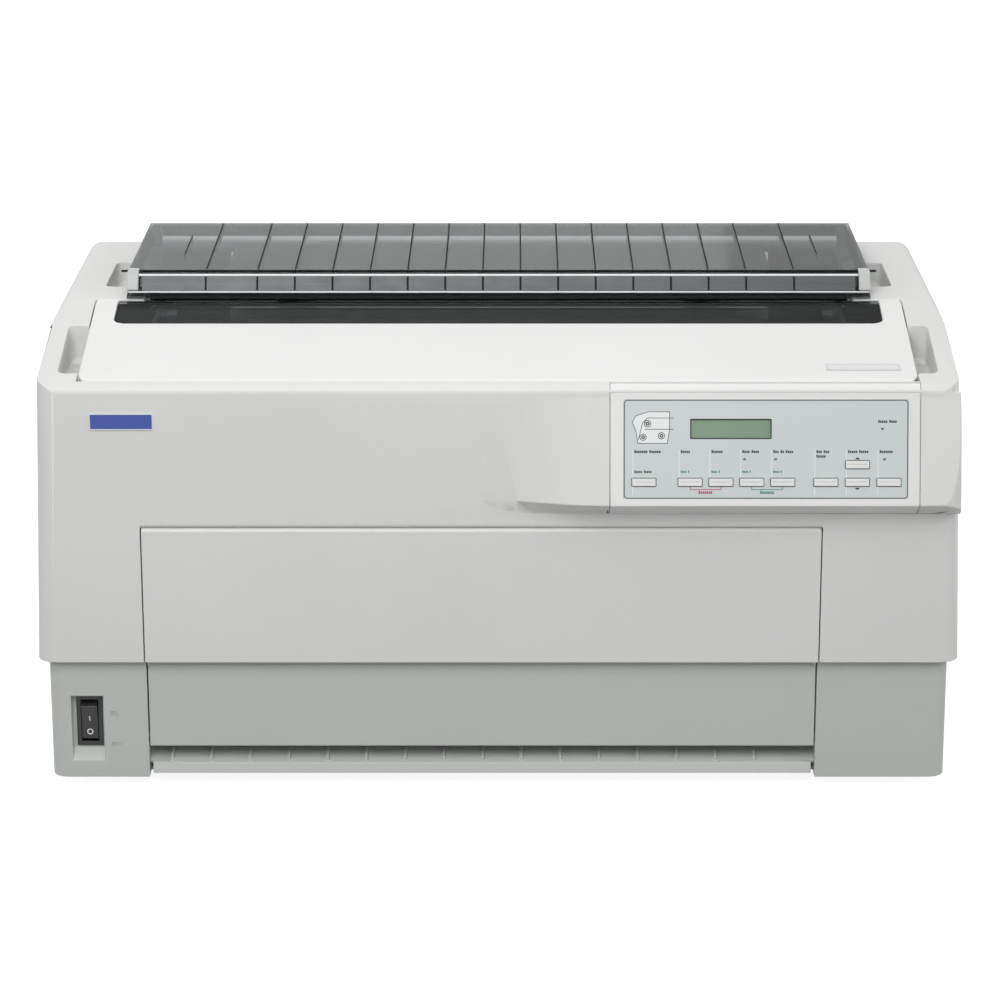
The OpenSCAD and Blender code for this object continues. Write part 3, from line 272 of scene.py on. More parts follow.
extras = {
    "darkPrint": satinPaint("darkPrint", (52, 55, 57)),
    "greyPrint": satinPaint("greyPrint", (112, 117, 118)),
    "whitePrint": satinPaint("whitePrint", (240, 242, 242)),
    "redPrint": satinPaint("redPrint", (176, 70, 92)),
    "tealPrint": satinPaint("tealPrint", (62, 138, 124)),
    # black print, also painted shade in the power supply's vent slots
    "blackPrint": satinPaint("blackPrint", (30, 31, 33)),
    "lampBrown": satinPaint("lampBrown", (122, 108, 104), rough=0.2),
    "seamShade": satinPaint("seamShade", (112, 114, 113), rough=0.6),
    # grey for a sheet of painted shade on the riser, standing for the dim inside seen through it
    "riserShade": satinPaint("riserShade", (70, 75, 76), rough=0.35),
    # dark for painted shade in the seam before the lid
    "seamDark": satinPaint("seamDark", (58, 60, 60), rough=0.7),
    "plateLine": satinPaint("plateLine", (184, 186, 188)),
    # white for painted highlights on the smoked cover's rounded edges
    "polishedEdge": satinPaint("polishedEdge", (240, 242, 242), rough=0.14),
    # a dark copy of the smoked plastic: painted shade for its ribs and walls seen through it
    "smokedRib": satinPaint("smokedRib", (40, 43, 44), rough=0.85),
    # darker lines of painted reflection across the smoked riser
    "smokedLine": satinPaint("smokedLine", (86, 92, 93), rough=0.5),
    # lighter than the base plastic: painted light from the front reaching the paper entry ramp
    "entryPlastic": mouldedPlastic("entryPlastic", (214, 217, 214)),
    "ribbonCloth": wovenRibbon("ribbonCloth", (30, 30, 33)),
    "goldPlate": turnedSteel("goldPlate", (224, 186, 104), rough=0.3),
    "chipBlack": satinPaint("chipBlack", (36, 37, 39), rough=0.45),
    "capBlue": satinPaint("capacitorSleeve", (38, 52, 88), rough=0.3),
    "tin": turnedSteel("tinPlate", (206, 208, 210), rough=0.32, stretch=(30, 30, 30)),
    "smokedWindow": smokedPlastic("smokedWindow", (124, 129, 129), 0.98),
    "flapPlastic": mouldedPlastic("flapPlastic", (128, 131, 129)),
    "gripPlastic": mouldedPlastic("gripPlastic", (198, 200, 198)),
}
# a rib inside smoked plastic throws back hardly any light of its own; its dark colour is painted shade
ribShader = extras["smokedRib"].node_tree.nodes["Principled BSDF"]
ribShader.inputs["Specular IOR Level"].default_value = 0.08
print("finishes made:", len(finishes) + len(extras))


# Shapes: each adds to a bmesh in millimetres

def addBox(work, low, high, radius=0.0, steps=2):
    low, high = Vector(low), Vector(high)
    size = high - low
    spot = Matrix.Translation((low + high) / 2) @ Matrix.Diagonal((*size, 1))
    made = bmesh.ops.create_cube(work, size=1, matrix=spot)["verts"]
    if radius > 0:
        edges = list({e for v in made for e in v.link_edges})
        bmesh.ops.bevel(work, geom=edges, offset=radius, segments=steps, profile=0.5,
                        affect="EDGES", clamp_overlap=True)


def addTurned(work, profile, place, count=32):
    # profile holds (radius, height) pairs along local z, a radius of 0 closes an end
    rings = []
    for radius, height in profile:
        if radius < 1e-6:
            rings.append([work.verts.new(place @ Vector((0, 0, height)))])
            continue
        rings.append([work.verts.new(place @ Vector((x, y, height))) for x, y in ring(0, 0, radius, count)])
    for lower, upper in zip(rings, rings[1:]):
        for i in range(count):
            j = (i + 1) % count
            if len(lower) == 1 and len(upper) == 1:
                continue
            if len(lower) == 1:
                work.faces.new((lower[0], upper[i], upper[j]))
            elif len(upper) == 1:
                work.faces.new((lower[i], lower[j], upper[0]))
            else:
                work.faces.new((lower[i], lower[j], upper[j], upper[i]))


def addPrism(work, outline, place, low, high):
    # outline holds (a, b) points, place turns (a, b, height) into a point
    foot = [work.verts.new(place(a, b, low)) for a, b in outline]
    top = [work.verts.new(place(a, b, high)) for a, b in outline]
    count = len(outline)
    work.faces.new(foot[::-1])
    work.faces.new(top)
    for i in range(count):
        j = (i + 1) % count
        work.faces.new((foot[i], foot[j], top[j], top[i]))


def addBand(work, outer, inner, place, low, high):
    # closed frame between two outlines with the same number of points
    loops = [[work.verts.new(place(a, b, h)) for a, b in line]
             for line, h in ((outer, low), (outer, high), (inner, high), (inner, low))]
    count = len(outer)
    for first, second in zip(loops, loops[1:] + loops[:1]):
        for i in range(count):
            j = (i + 1) % count
            work.faces.new((first[i], first[j], second[j], second[i]))


def rect(x0, x1, y0, y1):
    return [(x0, y0), (x1, y0), (x1, y1), (x0, y1)]


def roundRect(x0, x1, y0, y1, radius, steps=4):
    corners = [(x1 - radius, y0 + radius, -90), (x1 - radius, y1 - radius, 0),
               (x0 + radius, y1 - radius, 90), (x0 + radius, y0 + radius, 180)]
    points = []
    for cx, cy, start in corners:
        for i in range(steps + 1):
            a = math.radians(start + 90 * i / steps)
            points.append((cx + radius * math.cos(a), cy + radius * math.sin(a)))
    return points


def ring(x, y, radius, count=20):
    turn = [2 * math.pi * i / count for i in range(count)]
    return [(x + radius * math.cos(a), y + radius * math.sin(a)) for a in turn]


def facing(point, direction):
    # place of a turned shape whose local z looks along direction
    turn = Vector(direction).to_track_quat("Z", "Y").to_matrix().to_4x4()
    return Matrix.Translation(point) @ turn


creaseAngle = 40  # edges that turn by more than this many degrees look sharp


def finishPiece(name, work, body, finish):
    bmesh.ops.recalc_face_normals(work, faces=work.faces)
    bmesh.ops.scale(work, vec=(mm, mm, mm), verts=work.verts)
    mesh = bpy.data.meshes.new(name)
    work.to_mesh(mesh)
    work.free()
    return placeMesh(name, mesh, body, finish)


def placeMesh(name, mesh, body, finish):
    mesh.materials.clear()
    mesh.materials.append(finish)
    mesh.shade_smooth()
    mesh.set_sharp_from_angle(angle=math.radians(creaseAngle))
    piece = bpy.data.objects.new(name, mesh)
    bpy.context.scene.collection.objects.link(piece)
    even = piece.modifiers.new("evenNormals", "WEIGHTED_NORMAL")
    even.keep_sharp = True
    even.weight = 80
    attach(piece, body)
    return piece


slotOf = {part["node"]: part["material_slot"] for part in frame["record"]["subparts"]}
bodyOf = {node: body for body, members in frame["record"]["behaviour"]["bodies"].items()
          for node in members}


def pieceName(node, ending=""):
    words = node.split("_")
    return words[0] + "".join(word.capitalize() for word in words[1:]) + ending


def refine(node, radius, steps=2, foldAngle=33, finish=None, trim=None, skip=None):
    # the node's own shape with its edges rounded, standing for the node;
    # nothing is dissolved or rounded where skip holds for a point in millimetres
    mesh = nodes[node].data.copy()
    work = bmesh.new()
    work.from_mesh(mesh)
    bmesh.ops.remove_doubles(work, verts=work.verts, dist=2e-6)
    if trim:
        trim(work)
    loose = [v for v in work.verts if not (skip and skip(v.co / mm))]
    free = [e for e in work.edges if not (skip and all(skip(v.co / mm) for v in e.verts))]
    bmesh.ops.dissolve_limit(work, angle_limit=math.radians(0.6), verts=loose, edges=free, delimit=set())
    fold = math.radians(foldAngle)
    edges = [e for e in work.edges if e.is_manifold and e.calc_face_angle(0) > fold]
    if skip:
        edges = [e for e in edges if not all(skip(v.co / mm) for v in e.verts)]
    bmesh.ops.bevel(work, geom=edges, offset=radius * mm, segments=steps, profile=0.5,
                    affect="EDGES", clamp_overlap=False, harden_normals=False)
    bmesh.ops.recalc_face_normals(work, faces=work.faces)
    manySided = [f for f in work.faces if len(f.verts) > 4]
    bmesh.ops.triangulate(work, faces=manySided, ngon_method="EAR_CLIP")
    work.to_mesh(mesh)
    work.free()
    piece = placeMesh(pieceName(node), mesh, bodyOf[node], finish or finishes[slotOf[node]])
    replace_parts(piece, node)
    return piece


def dress(node, finish=None):
    finish = finish or finishes[slotOf[node]]
    for place in nodes[node].material_slots:
        place.material = finish
    if not nodes[node].material_slots:
        nodes[node].data.materials.append(finish)


# Camera, light and floor

view = {"place": (0.012, -2.621, 0.9814), "pitch": 17, "lens": 123.4, "shift": -0.014}
lens = bpy.data.cameras.new("photoCamera")
lens.lens = view["lens"]
lens.sensor_width = 36
lens.shift_x = view["shift"]
camera = bpy.data.objects.new("photoCamera", lens)
camera.location = view["place"]
camera.rotation_euler = (math.radians(90 - view["pitch"]), 0, 0)
bpy.context.scene.collection.objects.link(camera)
bpy.context.scene.camera = camera

lamps = {
    "topSoftbox": {"place": (0.0, -0.2, 2.3), "aim": (0, 0, 0.2), "size": 2.6, "power": 12.8,
                   "mirrored": True},
    "frontSoftbox": {"place": (-0.35, -1.6, 1.5), "aim": (0, 0, 0.25), "size": 1.1, "power": 20.5,
                     "mirrored": True},
    "rightFill": {"place": (2.4, -0.8, 1.2), "aim": (0, 0, 0.2), "size": 1.6, "power": 19,
                  "mirrored": False},
    "leftFill": {"place": (-2.4, -0.6, 1.2), "aim": (0, 0, 0.2), "size": 1.6, "power": 9,
                 "mirrored": False},
    "backFill": {"place": (-0.5, 2.4, 1.3), "aim": (0, 0, 0.2), "size": 1.8, "power": 24,
                 "mirrored": False},
}
for name, values in lamps.items():
    lamp = bpy.data.lights.new(name, "AREA")
    lamp.shape = "SQUARE"
    lamp.size = values["size"]
    lamp.energy = values["power"]
    holder = bpy.data.objects.new(name, lamp)
    holder.location = values["place"]
    holder.visible_glossy = values["mirrored"]
    away = Vector(values["place"]) - Vector(values["aim"])
    holder.rotation_euler = away.to_track_quat("Z", "Y").to_euler()
    bpy.context.scene.collection.objects.link(holder)


def combined(tree, operation, first, second):
    # second is a socket or a plain number
    node = tree.nodes.new("ShaderNodeMath")
    node.operation = operation
    tree.links.new(first, node.inputs[0])
    if isinstance(second, float):
        node.inputs[1].default_value = second
    else:
        tree.links.new(second, node.inputs[1])
    return node.outputs[0]


def whiteWhereSeen(tree, plainStrength, seenStrength=1.0):
    # the seen strength for camera and glossy rays, the plain one as light and through the smoked covers
    path = tree.nodes.new("ShaderNodeLightPath")
    looked = combined(tree, "MAXIMUM", path.outputs["Is Camera Ray"], path.outputs["Is Glossy Ray"])
    # not for rays that have already left a matt surface, so nothing is lit by it
    direct = combined(tree, "LESS_THAN", path.outputs["Diffuse Depth"], 0.5)
    level = tree.nodes.new("ShaderNodeMapRange")
    level.inputs["To Min"].default_value = plainStrength
    level.inputs["To Max"].default_value = seenStrength
    tree.links.new(combined(tree, "MULTIPLY", looked, direct), level.inputs["Value"])
    return level.outputs["Result"]


studio = {"skyPlain": 0.2, "floorPlain": 0.0, "floorSeen": 0.9, "floorGrey": 0.35, "floorReach": 6.0}
world = bpy.data.worlds.new("studio")
bpy.context.scene.world = world
world.use_nodes = True
sky = world.node_tree.nodes["Background"]
sky.inputs["Color"].default_value = (1, 1, 1, 1)
world.node_tree.links.new(whiteWhereSeen(world.node_tree, studio["skyPlain"]), sky.inputs["Strength"])

floorMesh = bpy.data.meshes.new("studioFloor")
far = studio["floorReach"]
floorMesh.from_pydata([(-far, -far, 0), (far, -far, 0), (far, far, 0), (-far, far, 0)], [], [(0, 1, 2, 3)])
studioFloor = bpy.data.objects.new("studioFloor", floorMesh)
bpy.context.scene.collection.objects.link(studioFloor)
floorFinish, floorTree, floorShader = newFinish("floorPaper")
floorGrey = studio["floorGrey"]
floorShader.inputs["Base Color"].default_value = (floorGrey, floorGrey, floorGrey, 1)
floorShader.inputs["Roughness"].default_value = 0.9
floorShader.inputs["Emission Color"].default_value = (1, 1, 1, 1)
floorWhite = whiteWhereSeen(floorTree, studio["floorPlain"], studio["floorSeen"])
floorTree.links.new(floorWhite, floorShader.inputs["Emission Strength"])
floorMesh.materials.append(floorFinish)
studioFloor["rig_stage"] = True

settings = bpy.context.scene.view_settings
settings.view_transform = "Standard"
print("stage set")


# Casing, lid and covers

casing = {
    "base_case": 0.8, "upper_case": 0.9, "top_lid": 0.8, "exit_guide": 0.3, "rubber_feet": 1.2,
    "switch_frame": 0.35, "power_rocker": 0.4, "panel_bezel": 0.7,
}
# the key panel's face leans back from the lip at its foot
panel = {"lipY": -191.0, "lipZ": 233.5, "rise": 82.5, "back": 20.0}
slant = math.atan2(panel["back"], panel["rise"])
# edges of the upper case where rounding would leave stray faces: the inner side of the wall round the
# key panel, the lower rear edge, the underside of the top, and the thin edge before the lid
keptSharp = {
    "panelX": (80, 320), "panelAbove": 228, "panelDepth": (2, 8), "rearBehind": 188, "rearBelow": 106,
    "topBehind": -40, "topZ": (340, 347.5), "lidEdgeY": (-166, -158), "lidEdgeAbove": 310,
}


def within(value, limits):
    return limits[0] < value < limits[1]


def staysSharp(v):
    depth = (v.y - panel["lipY"]) * math.cos(slant) - (v.z - panel["lipZ"]) * math.sin(slant)
    onPanelWall = within(v.x, keptSharp["panelX"]) and within(depth, keptSharp["panelDepth"])
    return (onPanelWall and v.z > keptSharp["panelAbove"]
            or v.y > keptSharp["rearBehind"] and v.z < keptSharp["rearBelow"]
            or v.y > keptSharp["topBehind"] and within(v.z, keptSharp["topZ"])
            or within(v.y, keptSharp["lidEdgeY"]) and v.z > keptSharp["lidEdgeAbove"])


for node, radius in casing.items():
    refine(node, radius, skip=staysSharp if node == "upper_case" else None)
# the paper entry guide's lighter finish is painted light
ownFinish = {"paper_entry_guide": (0.4, extras["entryPlastic"]), "cover_grips": (0.9, extras["gripPlastic"]),
             "lid_window": (0.4, extras["smokedWindow"])}
for node, (radius, finish) in ownFinish.items():
    refine(node, radius, finish=finish)
print("casing refined:", len(casing) + len(ownFinish))

# the front cover's lower panel is flush with the base and is drawn darker, in the base's finish
door = refine("front_cover", 0.8)
door.data.materials.append(finishes["base_plastic"])
splitHeight = boxOf("base_case")[1].z
for face in door.data.polygons:
    if face.center.z / mm < splitHeight - 0.05:
        face.material_index = 1


# Smoked rear cover: a clear shell, with the ribs and edges that show through it

cover = {
    "wall": 2.5, "gripWide": 8.5, "gripGap": 0.2, "firstRib": -188.7, "ribPitch": 29.4, "ribs": 14,
    "outerRibs": (-229.0, 231.0), "ribHalf": 0.75, "ribDrop": 6.0, "ribBack": 161.0, "ribGap": 0.1,
    "ribsWithin": 240, "shortRibs": (-250.8, 253.6), "shortHalf": 0.4, "shortDrop": 3, "shortRun": (54, 124),
}
ribShadeLine = {"half": 0.55, "run": (1.5, 169), "deep": 0.5, "proud": 0.02}
coverLow, coverHigh = boxOf("rear_cover")
coverUnder = coverHigh.z - cover["wall"]


def withoutRibs(work):
    # the ribs come back as pieces of their own, darkened with painted shade
    inside = []
    for face in work.faces:
        middle = face.calc_center_median() / mm
        underTop = abs(middle.x) < cover["ribsWithin"] and middle.z < coverUnder - 0.05
        if underTop and 1 < middle.y < cover["ribBack"] + 1:
            inside.append(face)
    bmesh.ops.delete(work, geom=inside, context="FACES")
    bmesh.ops.holes_fill(work, edges=[e for e in work.edges if e.is_boundary], sides=0)


def addAcross(work, outline, x0, x1):
    # a shape given in y and z, drawn from x0 to x1
    addPrism(work, outline, lambda y, z, x: Vector((x, y, z)), x0, x1)


def addRibShadeLine(work, x, half, run):
    # a dark line in the cover's outer face over each rib: painted shade of the rib seen through the plastic
    addBox(work, (x - half, run[0], coverHigh.z - ribShadeLine["deep"]),
           (x + half, run[1], coverHigh.z + ribShadeLine["proud"]))


refine("rear_cover", 0.5, trim=withoutRibs)
ribTop, ribLow = coverUnder - cover["ribGap"], coverUnder - cover["ribDrop"]
ribSection = [(-0.6, ribTop), (cover["ribBack"], ribTop), (cover["ribBack"], ribLow), (4.0, ribLow),
              (-6.2, 355.6), (-8.1, 355.6), (-3.9, 363.9)]
ribPlaces = list(cover["outerRibs"])
ribPlaces += [cover["firstRib"] + i * cover["ribPitch"] for i in range(cover["ribs"])]
work = bmesh.new()
for x in ribPlaces:
    addAcross(work, ribSection, x - cover["ribHalf"], x + cover["ribHalf"])
shortSection = rect(*cover["shortRun"], ribTop, ribTop - cover["shortDrop"])
for x in cover["shortRibs"]:
    addAcross(work, shortSection, x - cover["shortHalf"], x + cover["shortHalf"])
    addRibShadeLine(work, x, cover["shortHalf"], cover["shortRun"])
for x in ribPlaces:
    addRibShadeLine(work, x, ribShadeLine["half"], ribShadeLine["run"])
finishPiece("coverRibs", work, "back_cover", extras["smokedRib"])

# stiffeners under the riser's top edge, along both ends, under the lip and in the rear wall, dark with
# painted shade where the cover's bends and walls are seen edge-on
inner = coverHigh.x - cover["wall"]
rearWall = coverHigh.y - cover["wall"]
work = bmesh.new()
addAcross(work, [(-4.3, 363.4), (-1.0, 365.9), (3.4, ribTop), (3.4, ribTop - 0.6), (-0.8, 365.2)],
          -inner + 6.4, inner - 6.4)
for side in (-1, 1):
    addAcross(work, rect(7.0, 167, ribTop, 353.0), side * (inner - 0.9), side * (inner - 0.2))
    addBox(work, (side * inner - 9, 7, ribTop - 1.2), (side * inner + 9, 10, ribTop))
addAcross(work, [(-21.4, 350.3), (-12.6, 352.9), (-12.6, 352.5), (-21.4, 349.9)], -inner + 16, inner - 16)
addAcross(work, rect(rearWall + 0.9, rearWall + 1.7, 364.6, 356.4), -inner + 0.4, inner - 0.4)
finishPiece("coverStiffeners", work, "back_cover", extras["smokedRib"])

# white bars over the riser and along the lip, painted highlights of the cover's rounded edges, each a thin
# bar round a point in y and z
highlightBars = {"riser": (-5.4, 365.6), "riserRadius": 1.15, "lip": (-12.2, 353.3), "lipRadius": 1.1,
               "lipInset": 0.4, "sides": 12}
gripFree = coverHigh.x - cover["gripWide"] - cover["gripGap"]
lipHalf = coverHigh.x - highlightBars["lipInset"]
work = bmesh.new()
addAcross(work, ring(*highlightBars["riser"], highlightBars["riserRadius"], highlightBars["sides"]),
          -gripFree, gripFree)
addAcross(work, ring(*highlightBars["lip"], highlightBars["lipRadius"], highlightBars["sides"]),
          -lipHalf, lipHalf)
finishPiece("coverBrightEdges", work, "back_cover", extras["polishedEdge"])

# over the riser's outer face: a grey sheet of painted shade for the dim inside seen through the smoked
# plastic, darker lines of painted reflection, and the ribs in painted shade
riser = {"foot": (-12.0, 354.0), "run": (6.0, 12.0), "out": (-0.894, 0.447), "sunk": 0.4, "inset": 2.5,
         "skin": (0.05, 0.93), "steps": (0.16, 0.3, 0.62, 0.76), "stepTall": 0.03,
         "ribRun": (0.08, 0.9), "ribHalf": 0.8}
riserHalf = gripFree - riser["inset"]


def onRiser(along, proud):
    # a point of the riser's outer face, along from 0 at its foot to 1 at its top
    return tuple(foot + run * along + out * proud
                 for foot, run, out in zip(riser["foot"], riser["run"], riser["out"]))


def addOnRiser(work, first, last, proud, x0, x1):
    outside = [onRiser(first, proud), onRiser(last, proud)]
    inside = [onRiser(last, -riser["sunk"]), onRiser(first, -riser["sunk"])]
    addAcross(work, outside + inside, x0, x1)


work = bmesh.new()
addOnRiser(work, *riser["skin"], 0.03, -riserHalf, riserHalf)
finishPiece("riserBacking", work, "back_cover", extras["riserShade"])
# darker lines across the riser: painted reflections in its curved face
work = bmesh.new()
for step in riser["steps"]:
    addOnRiser(work, step, step + riser["stepTall"], 0.06, -riserHalf, riserHalf)
finishPiece("riserSteps", work, "back_cover", extras["smokedLine"])
# the ribs seen through the riser, dark with painted shade
work = bmesh.new()
for x in ribPlaces:
    addOnRiser(work, *riser["ribRun"], 0.09, x - riser["ribHalf"], x + riser["ribHalf"])
finishPiece("riserRibs", work, "back_cover", extras["smokedRib"])
print("rear cover built, ribs:", len(ribPlaces) + len(cover["shortRibs"]))


# Window: its rear part up to the lid's end, rounded corners, and the seam before the lid

lidSlope = {"top": 350.0, "from": -34.0, "rise": 26.5, "run": 122.0}
window = {"rear": (-30.7, -22.6), "top": 349.0, "under": 347.0, "inset": 0.3, "round": 0.3, "front": -68.0,
          "corner": 7.0, "cornerLap": 0.6, "sink": 1.2, "below": 0.02, "lap": 4.0}
windowHalf = boxOf("lid_window")[1].x - window["lap"]
rearHalf = windowHalf - window["inset"]
work = bmesh.new()
addBox(work, (-rearHalf, window["rear"][0], window["under"]),
       (rearHalf, window["rear"][1], window["top"]), window["round"])
finishPiece("windowRear", work, "lid", extras["smokedWindow"])


def onLid(a, b, height):
    drop = max(0.0, lidSlope["from"] - b) * (lidSlope["rise"] / lidSlope["run"])
    return Vector((a, b, lidSlope["top"] - drop + height))


work = bmesh.new()
r, y, lap = window["corner"], window["front"], window["cornerLap"]
for side in (-1, 1):
    x = side * windowHalf
    turn = [math.radians(a) for a in range(0, 91, 10)]
    outline = [(x + side * lap, y - lap), (x + side * lap, y + r)]
    outline += [(x - side * (r - r * math.cos(a)), y + r - r * math.sin(a)) for a in turn]
    outline.append((x - side * r, y - lap))
    addPrism(work, outline, onLid, -window["sink"], -window["below"])
finishPiece("windowCorners", work, "lid", finishes["lid_plastic"])

# a dark strip in the seam before the lid: painted shade of the gap
seam = {"short": 0.5, "foot": 317.0, "top": 320.25, "deep": 0.78, "gap": 0.02}
seamHalf = boxOf("name_plate")[1].x - seam["short"]
lidFront = boxOf("top_lid")[0].y
work = bmesh.new()
addBox(work, (-seamHalf, lidFront - seam["deep"], seam["foot"]),
       (seamHalf, lidFront - seam["gap"], seam["top"]))
finishPiece("lidSeam", work, "root", extras["seamDark"])
print("window completed, lid from", round(lidFront, 2))


# Key panel

def onPanel(x, s, height):
    # x across, s up the panel's face, height out of it
    return Vector((x, panel["lipY"] + s * math.sin(slant) - height * math.cos(slant),
                   panel["lipZ"] + s * math.cos(slant) + height * math.sin(slant)))


film = {"x0": 93.5, "x1": 304.0, "s0": 5.8, "s1": 79.0, "corner": 2.6, "border": 0.7,
        "low": -0.05, "high": 0.06}
keys = {
    "tractor_select_key": (108.3, 17.9), "font_key": (142.6, 17.9), "pitch_key": (165.4, 17.9),
    "tear_off_key": (188.3, 17.9), "top_of_form_key": (211.2, 17.9), "load_key": (243.2, 17.9),
    "feed_up_key": (266.6, 31.0), "feed_down_key": (266.6, 17.9), "pause_key": (290.0, 17.9),
}
keySize = {"half": 8.95, "tall": 3.05, "line": 0.45}
for node in keys:
    refine(node, 0.3)
refine("panel_membrane", 0.1)
refine("lcd_display", 0.2, finish=finishes["lcd_glass"])


def printOnFilm(name, finish, outlines, bands=(), high=None):
    work = bmesh.new()
    top = film["high"] if high is None else high
    for outline in outlines:
        addPrism(work, outline, onPanel, film["low"], top)
    for outer, inner in bands:
        addBand(work, outer, inner, onPanel, film["low"], top)
    finishPiece(name, work, "root", finish)


def stroke(points, width):
    # straight strokes of one width, as thin rectangles
    shapes = []
    for (ax, ay), (bx, by) in zip(points, points[1:]):
        run = Vector((bx - ax, by - ay)).normalized() * width / 2
        side = Vector((-run.y, run.x))
        a, b = Vector((ax, ay)) - run, Vector((bx, by)) + run
        shapes.append([tuple(a + side), tuple(a - side), tuple(b - side), tuple(b + side)])
    return shapes


edge = film["border"]
outer = roundRect(film["x0"] - 0.1, film["x1"] + 0.1, film["s0"] - 0.1, film["s1"] + 0.1, film["corner"])
inner = roundRect(film["x0"] + edge, film["x1"] - edge, film["s0"] + edge, film["s1"] - edge,
                  film["corner"] - edge)
printOnFilm("filmBorder", extras["greyPrint"], [], [(outer, inner)])

keyFrames = []
for x, s in keys.values():
    w, h, line = keySize["half"], keySize["tall"], keySize["line"]
    keyFrames.append((roundRect(x - w - line, x + w + line, s - h - line, s + h + line, 1.0),
                      roundRect(x - w, x + w, s - h, s + h, 0.6)))
printOnFilm("keyOutlines", extras["greyPrint"], [], keyFrames)

# a white line at the left of each column of keys
columns = {"top": 42.0, "foot": 21.6, "deepFoot": 8.5, "indent": 0.4, "width": 0.6,
           "deep": ("tractor_select_key", "load_key", "feed_down_key", "pause_key")}
whiteLines = []
for node, (x, s) in keys.items():
    if node == "feed_up_key":
        continue
    left = x - keySize["half"] + columns["indent"]
    foot = columns["deepFoot"] if node in columns["deep"] else columns["foot"]
    whiteLines.append(rect(left, left + columns["width"], foot, columns["top"]))
printOnFilm("columnLines", extras["whitePrint"], whiteLines)

# rows of plain blocks where the real panel has words
blocks = {"wide": 1.1, "gap": 0.32, "tall": 1.75, "firstTall": 1.25, "space": 1.1, "indent": 1.9}


def wordRow(x, s, words, share=1.0):
    # words holds the number of blocks in each word
    shapes = []
    for count in words:
        for i in range(count):
            tall = blocks["tall"] * share * (blocks["firstTall"] if i == 0 else 1.0)
            shapes.append(rect(x, x + blocks["wide"] * share, s, s + tall))
            x += (blocks["wide"] + blocks["gap"]) * share
        x += blocks["space"] * share
    return shapes


def rowStart(node):
    return keys[node][0] - keySize["half"] + blocks["indent"]


upperRow = {"tractor_select_key": (7, 6), "font_key": (5,), "pitch_key": (6,), "tear_off_key": (4, 4),
            "top_of_form_key": (3, 2, 4), "load_key": (3, 3), "feed_down_key": (5, 5), "pause_key": (7,)}
rowHeights = {"upper": 39.6, "second": 36.2, "overKey": 24.8, "small": 24.9}
lampTitle = (281.8, 62.0)
words = []
for node, counts in upperRow.items():
    words += wordRow(rowStart(node), rowHeights["upper"], counts)
words += wordRow(rowStart("load_key"), rowHeights["second"], (5,))
words += wordRow(*lampTitle, (5, 4))
words += wordRow(rowStart("tractor_select_key"), rowHeights["overKey"], (5, 5), 0.85)
printOnFilm("wordBlocks", extras["darkPrint"], words)
smallWords = []
for node in ("font_key", "pitch_key", "tear_off_key", "top_of_form_key"):
    smallWords += wordRow(rowStart(node), rowHeights["small"], (4, 1), 0.8)
printOnFilm("smallBlocks", extras["tealPrint"], smallWords)

# four lamps: one under its title at the panel's right, three over keys and left of their middles
lamp = {"wide": 2.0, "tall": 1.5, "corner": 0.4, "dome": 0.35, "underTitle": (283.9, 56.9), "s": 34.3,
        "left": {"tear_off_key": 6.4, "top_of_form_key": 6.4, "pause_key": 4.4}}
lampSpots = [lamp["underTitle"]]
lampSpots += [(keys[node][0] - left, lamp["s"]) for node, left in lamp["left"].items()]
printOnFilm("statusLamps", extras["lampBrown"],
            [roundRect(x, x + lamp["wide"], s, s + lamp["tall"], lamp["corner"]) for x, s in lampSpots],
            high=lamp["dome"])
arrow = {"half": 2.0, "tall": 1.7, "up": 34.9, "down": 13.8}
x, up, down = keys["feed_up_key"][0], arrow["up"], arrow["down"]
printOnFilm("feedArrows", extras["blackPrint"], [
    [(x - arrow["half"], up), (x + arrow["half"], up), (x, up + arrow["tall"])],
    [(x - arrow["half"], down), (x, down - arrow["tall"]), (x + arrow["half"], down)]])

bracket = {"top": 14.2, "foot": 12.5, "line": 0.5, "wordsLeft": 5.2, "wordsFoot": 9.3, "share": 1.05}


def keyBracket(name, finish, firstKey, lastKey):
    a, b = keys[firstKey][0], keys[lastKey][0]
    line = [(a, bracket["top"]), (a, bracket["foot"]), (b, bracket["foot"]), (b, bracket["top"])]
    words = wordRow((a + b) / 2 - bracket["wordsLeft"], bracket["wordsFoot"], (7,), bracket["share"])
    printOnFilm(name, finish, stroke(line, bracket["line"]) + words)


keyBracket("redBracket", extras["redPrint"], "font_key", "pitch_key")
keyBracket("tealBracket", extras["tealPrint"], "tear_off_key", "top_of_form_key")

# generic side view of a paper path: a case outline, three rollers and the paper's two lines
plan = {"x": 99.6, "s": 46.8, "line": 0.45, "rim": 0.55, "core": 1.2, "hole": 0.5, "high": 0.09}
px, ps = plan["x"], plan["s"]
planCase = [(px + 4.2, ps), (px + 26.0, ps), (px + 27.6, ps + 10.4), (px + 27.6, ps + 23.4),
            (px + 12.0, ps + 23.4), (px + 2.6, ps + 20.4), (px, ps + 15.6), (px + 2.8, ps + 9.0)]
printOnFilm("pathPlan", extras["whitePrint"], [planCase])
bentPath = [(px + 30.2, ps + 18.8), (px + 11.2, ps + 18.8), (px + 7.6, ps + 15.0), (px + 4.6, ps + 3.0)]
straightPath = [(px + 30.2, ps + 10.4), (px + 9.4, ps + 10.4)]
planLines = []
for line in (planCase + planCase[:1], bentPath, straightPath):
    planLines += stroke(line, plan["line"])
rollers = [(px + 11.3, ps + 14.6, 2.7), (px + 8.0, ps + 4.6, 2.6), (px + 21.6, ps + 5.6, 2.6)]
rims = [(ring(x, s, r), ring(x, s, r - plan["rim"])) for x, s, r in rollers]
cores = [(ring(x, s, r - plan["core"]), ring(x, s, plan["hole"])) for x, s, r in rollers]
printOnFilm("pathLines", extras["darkPrint"], planLines, rims + cores, high=plan["high"])

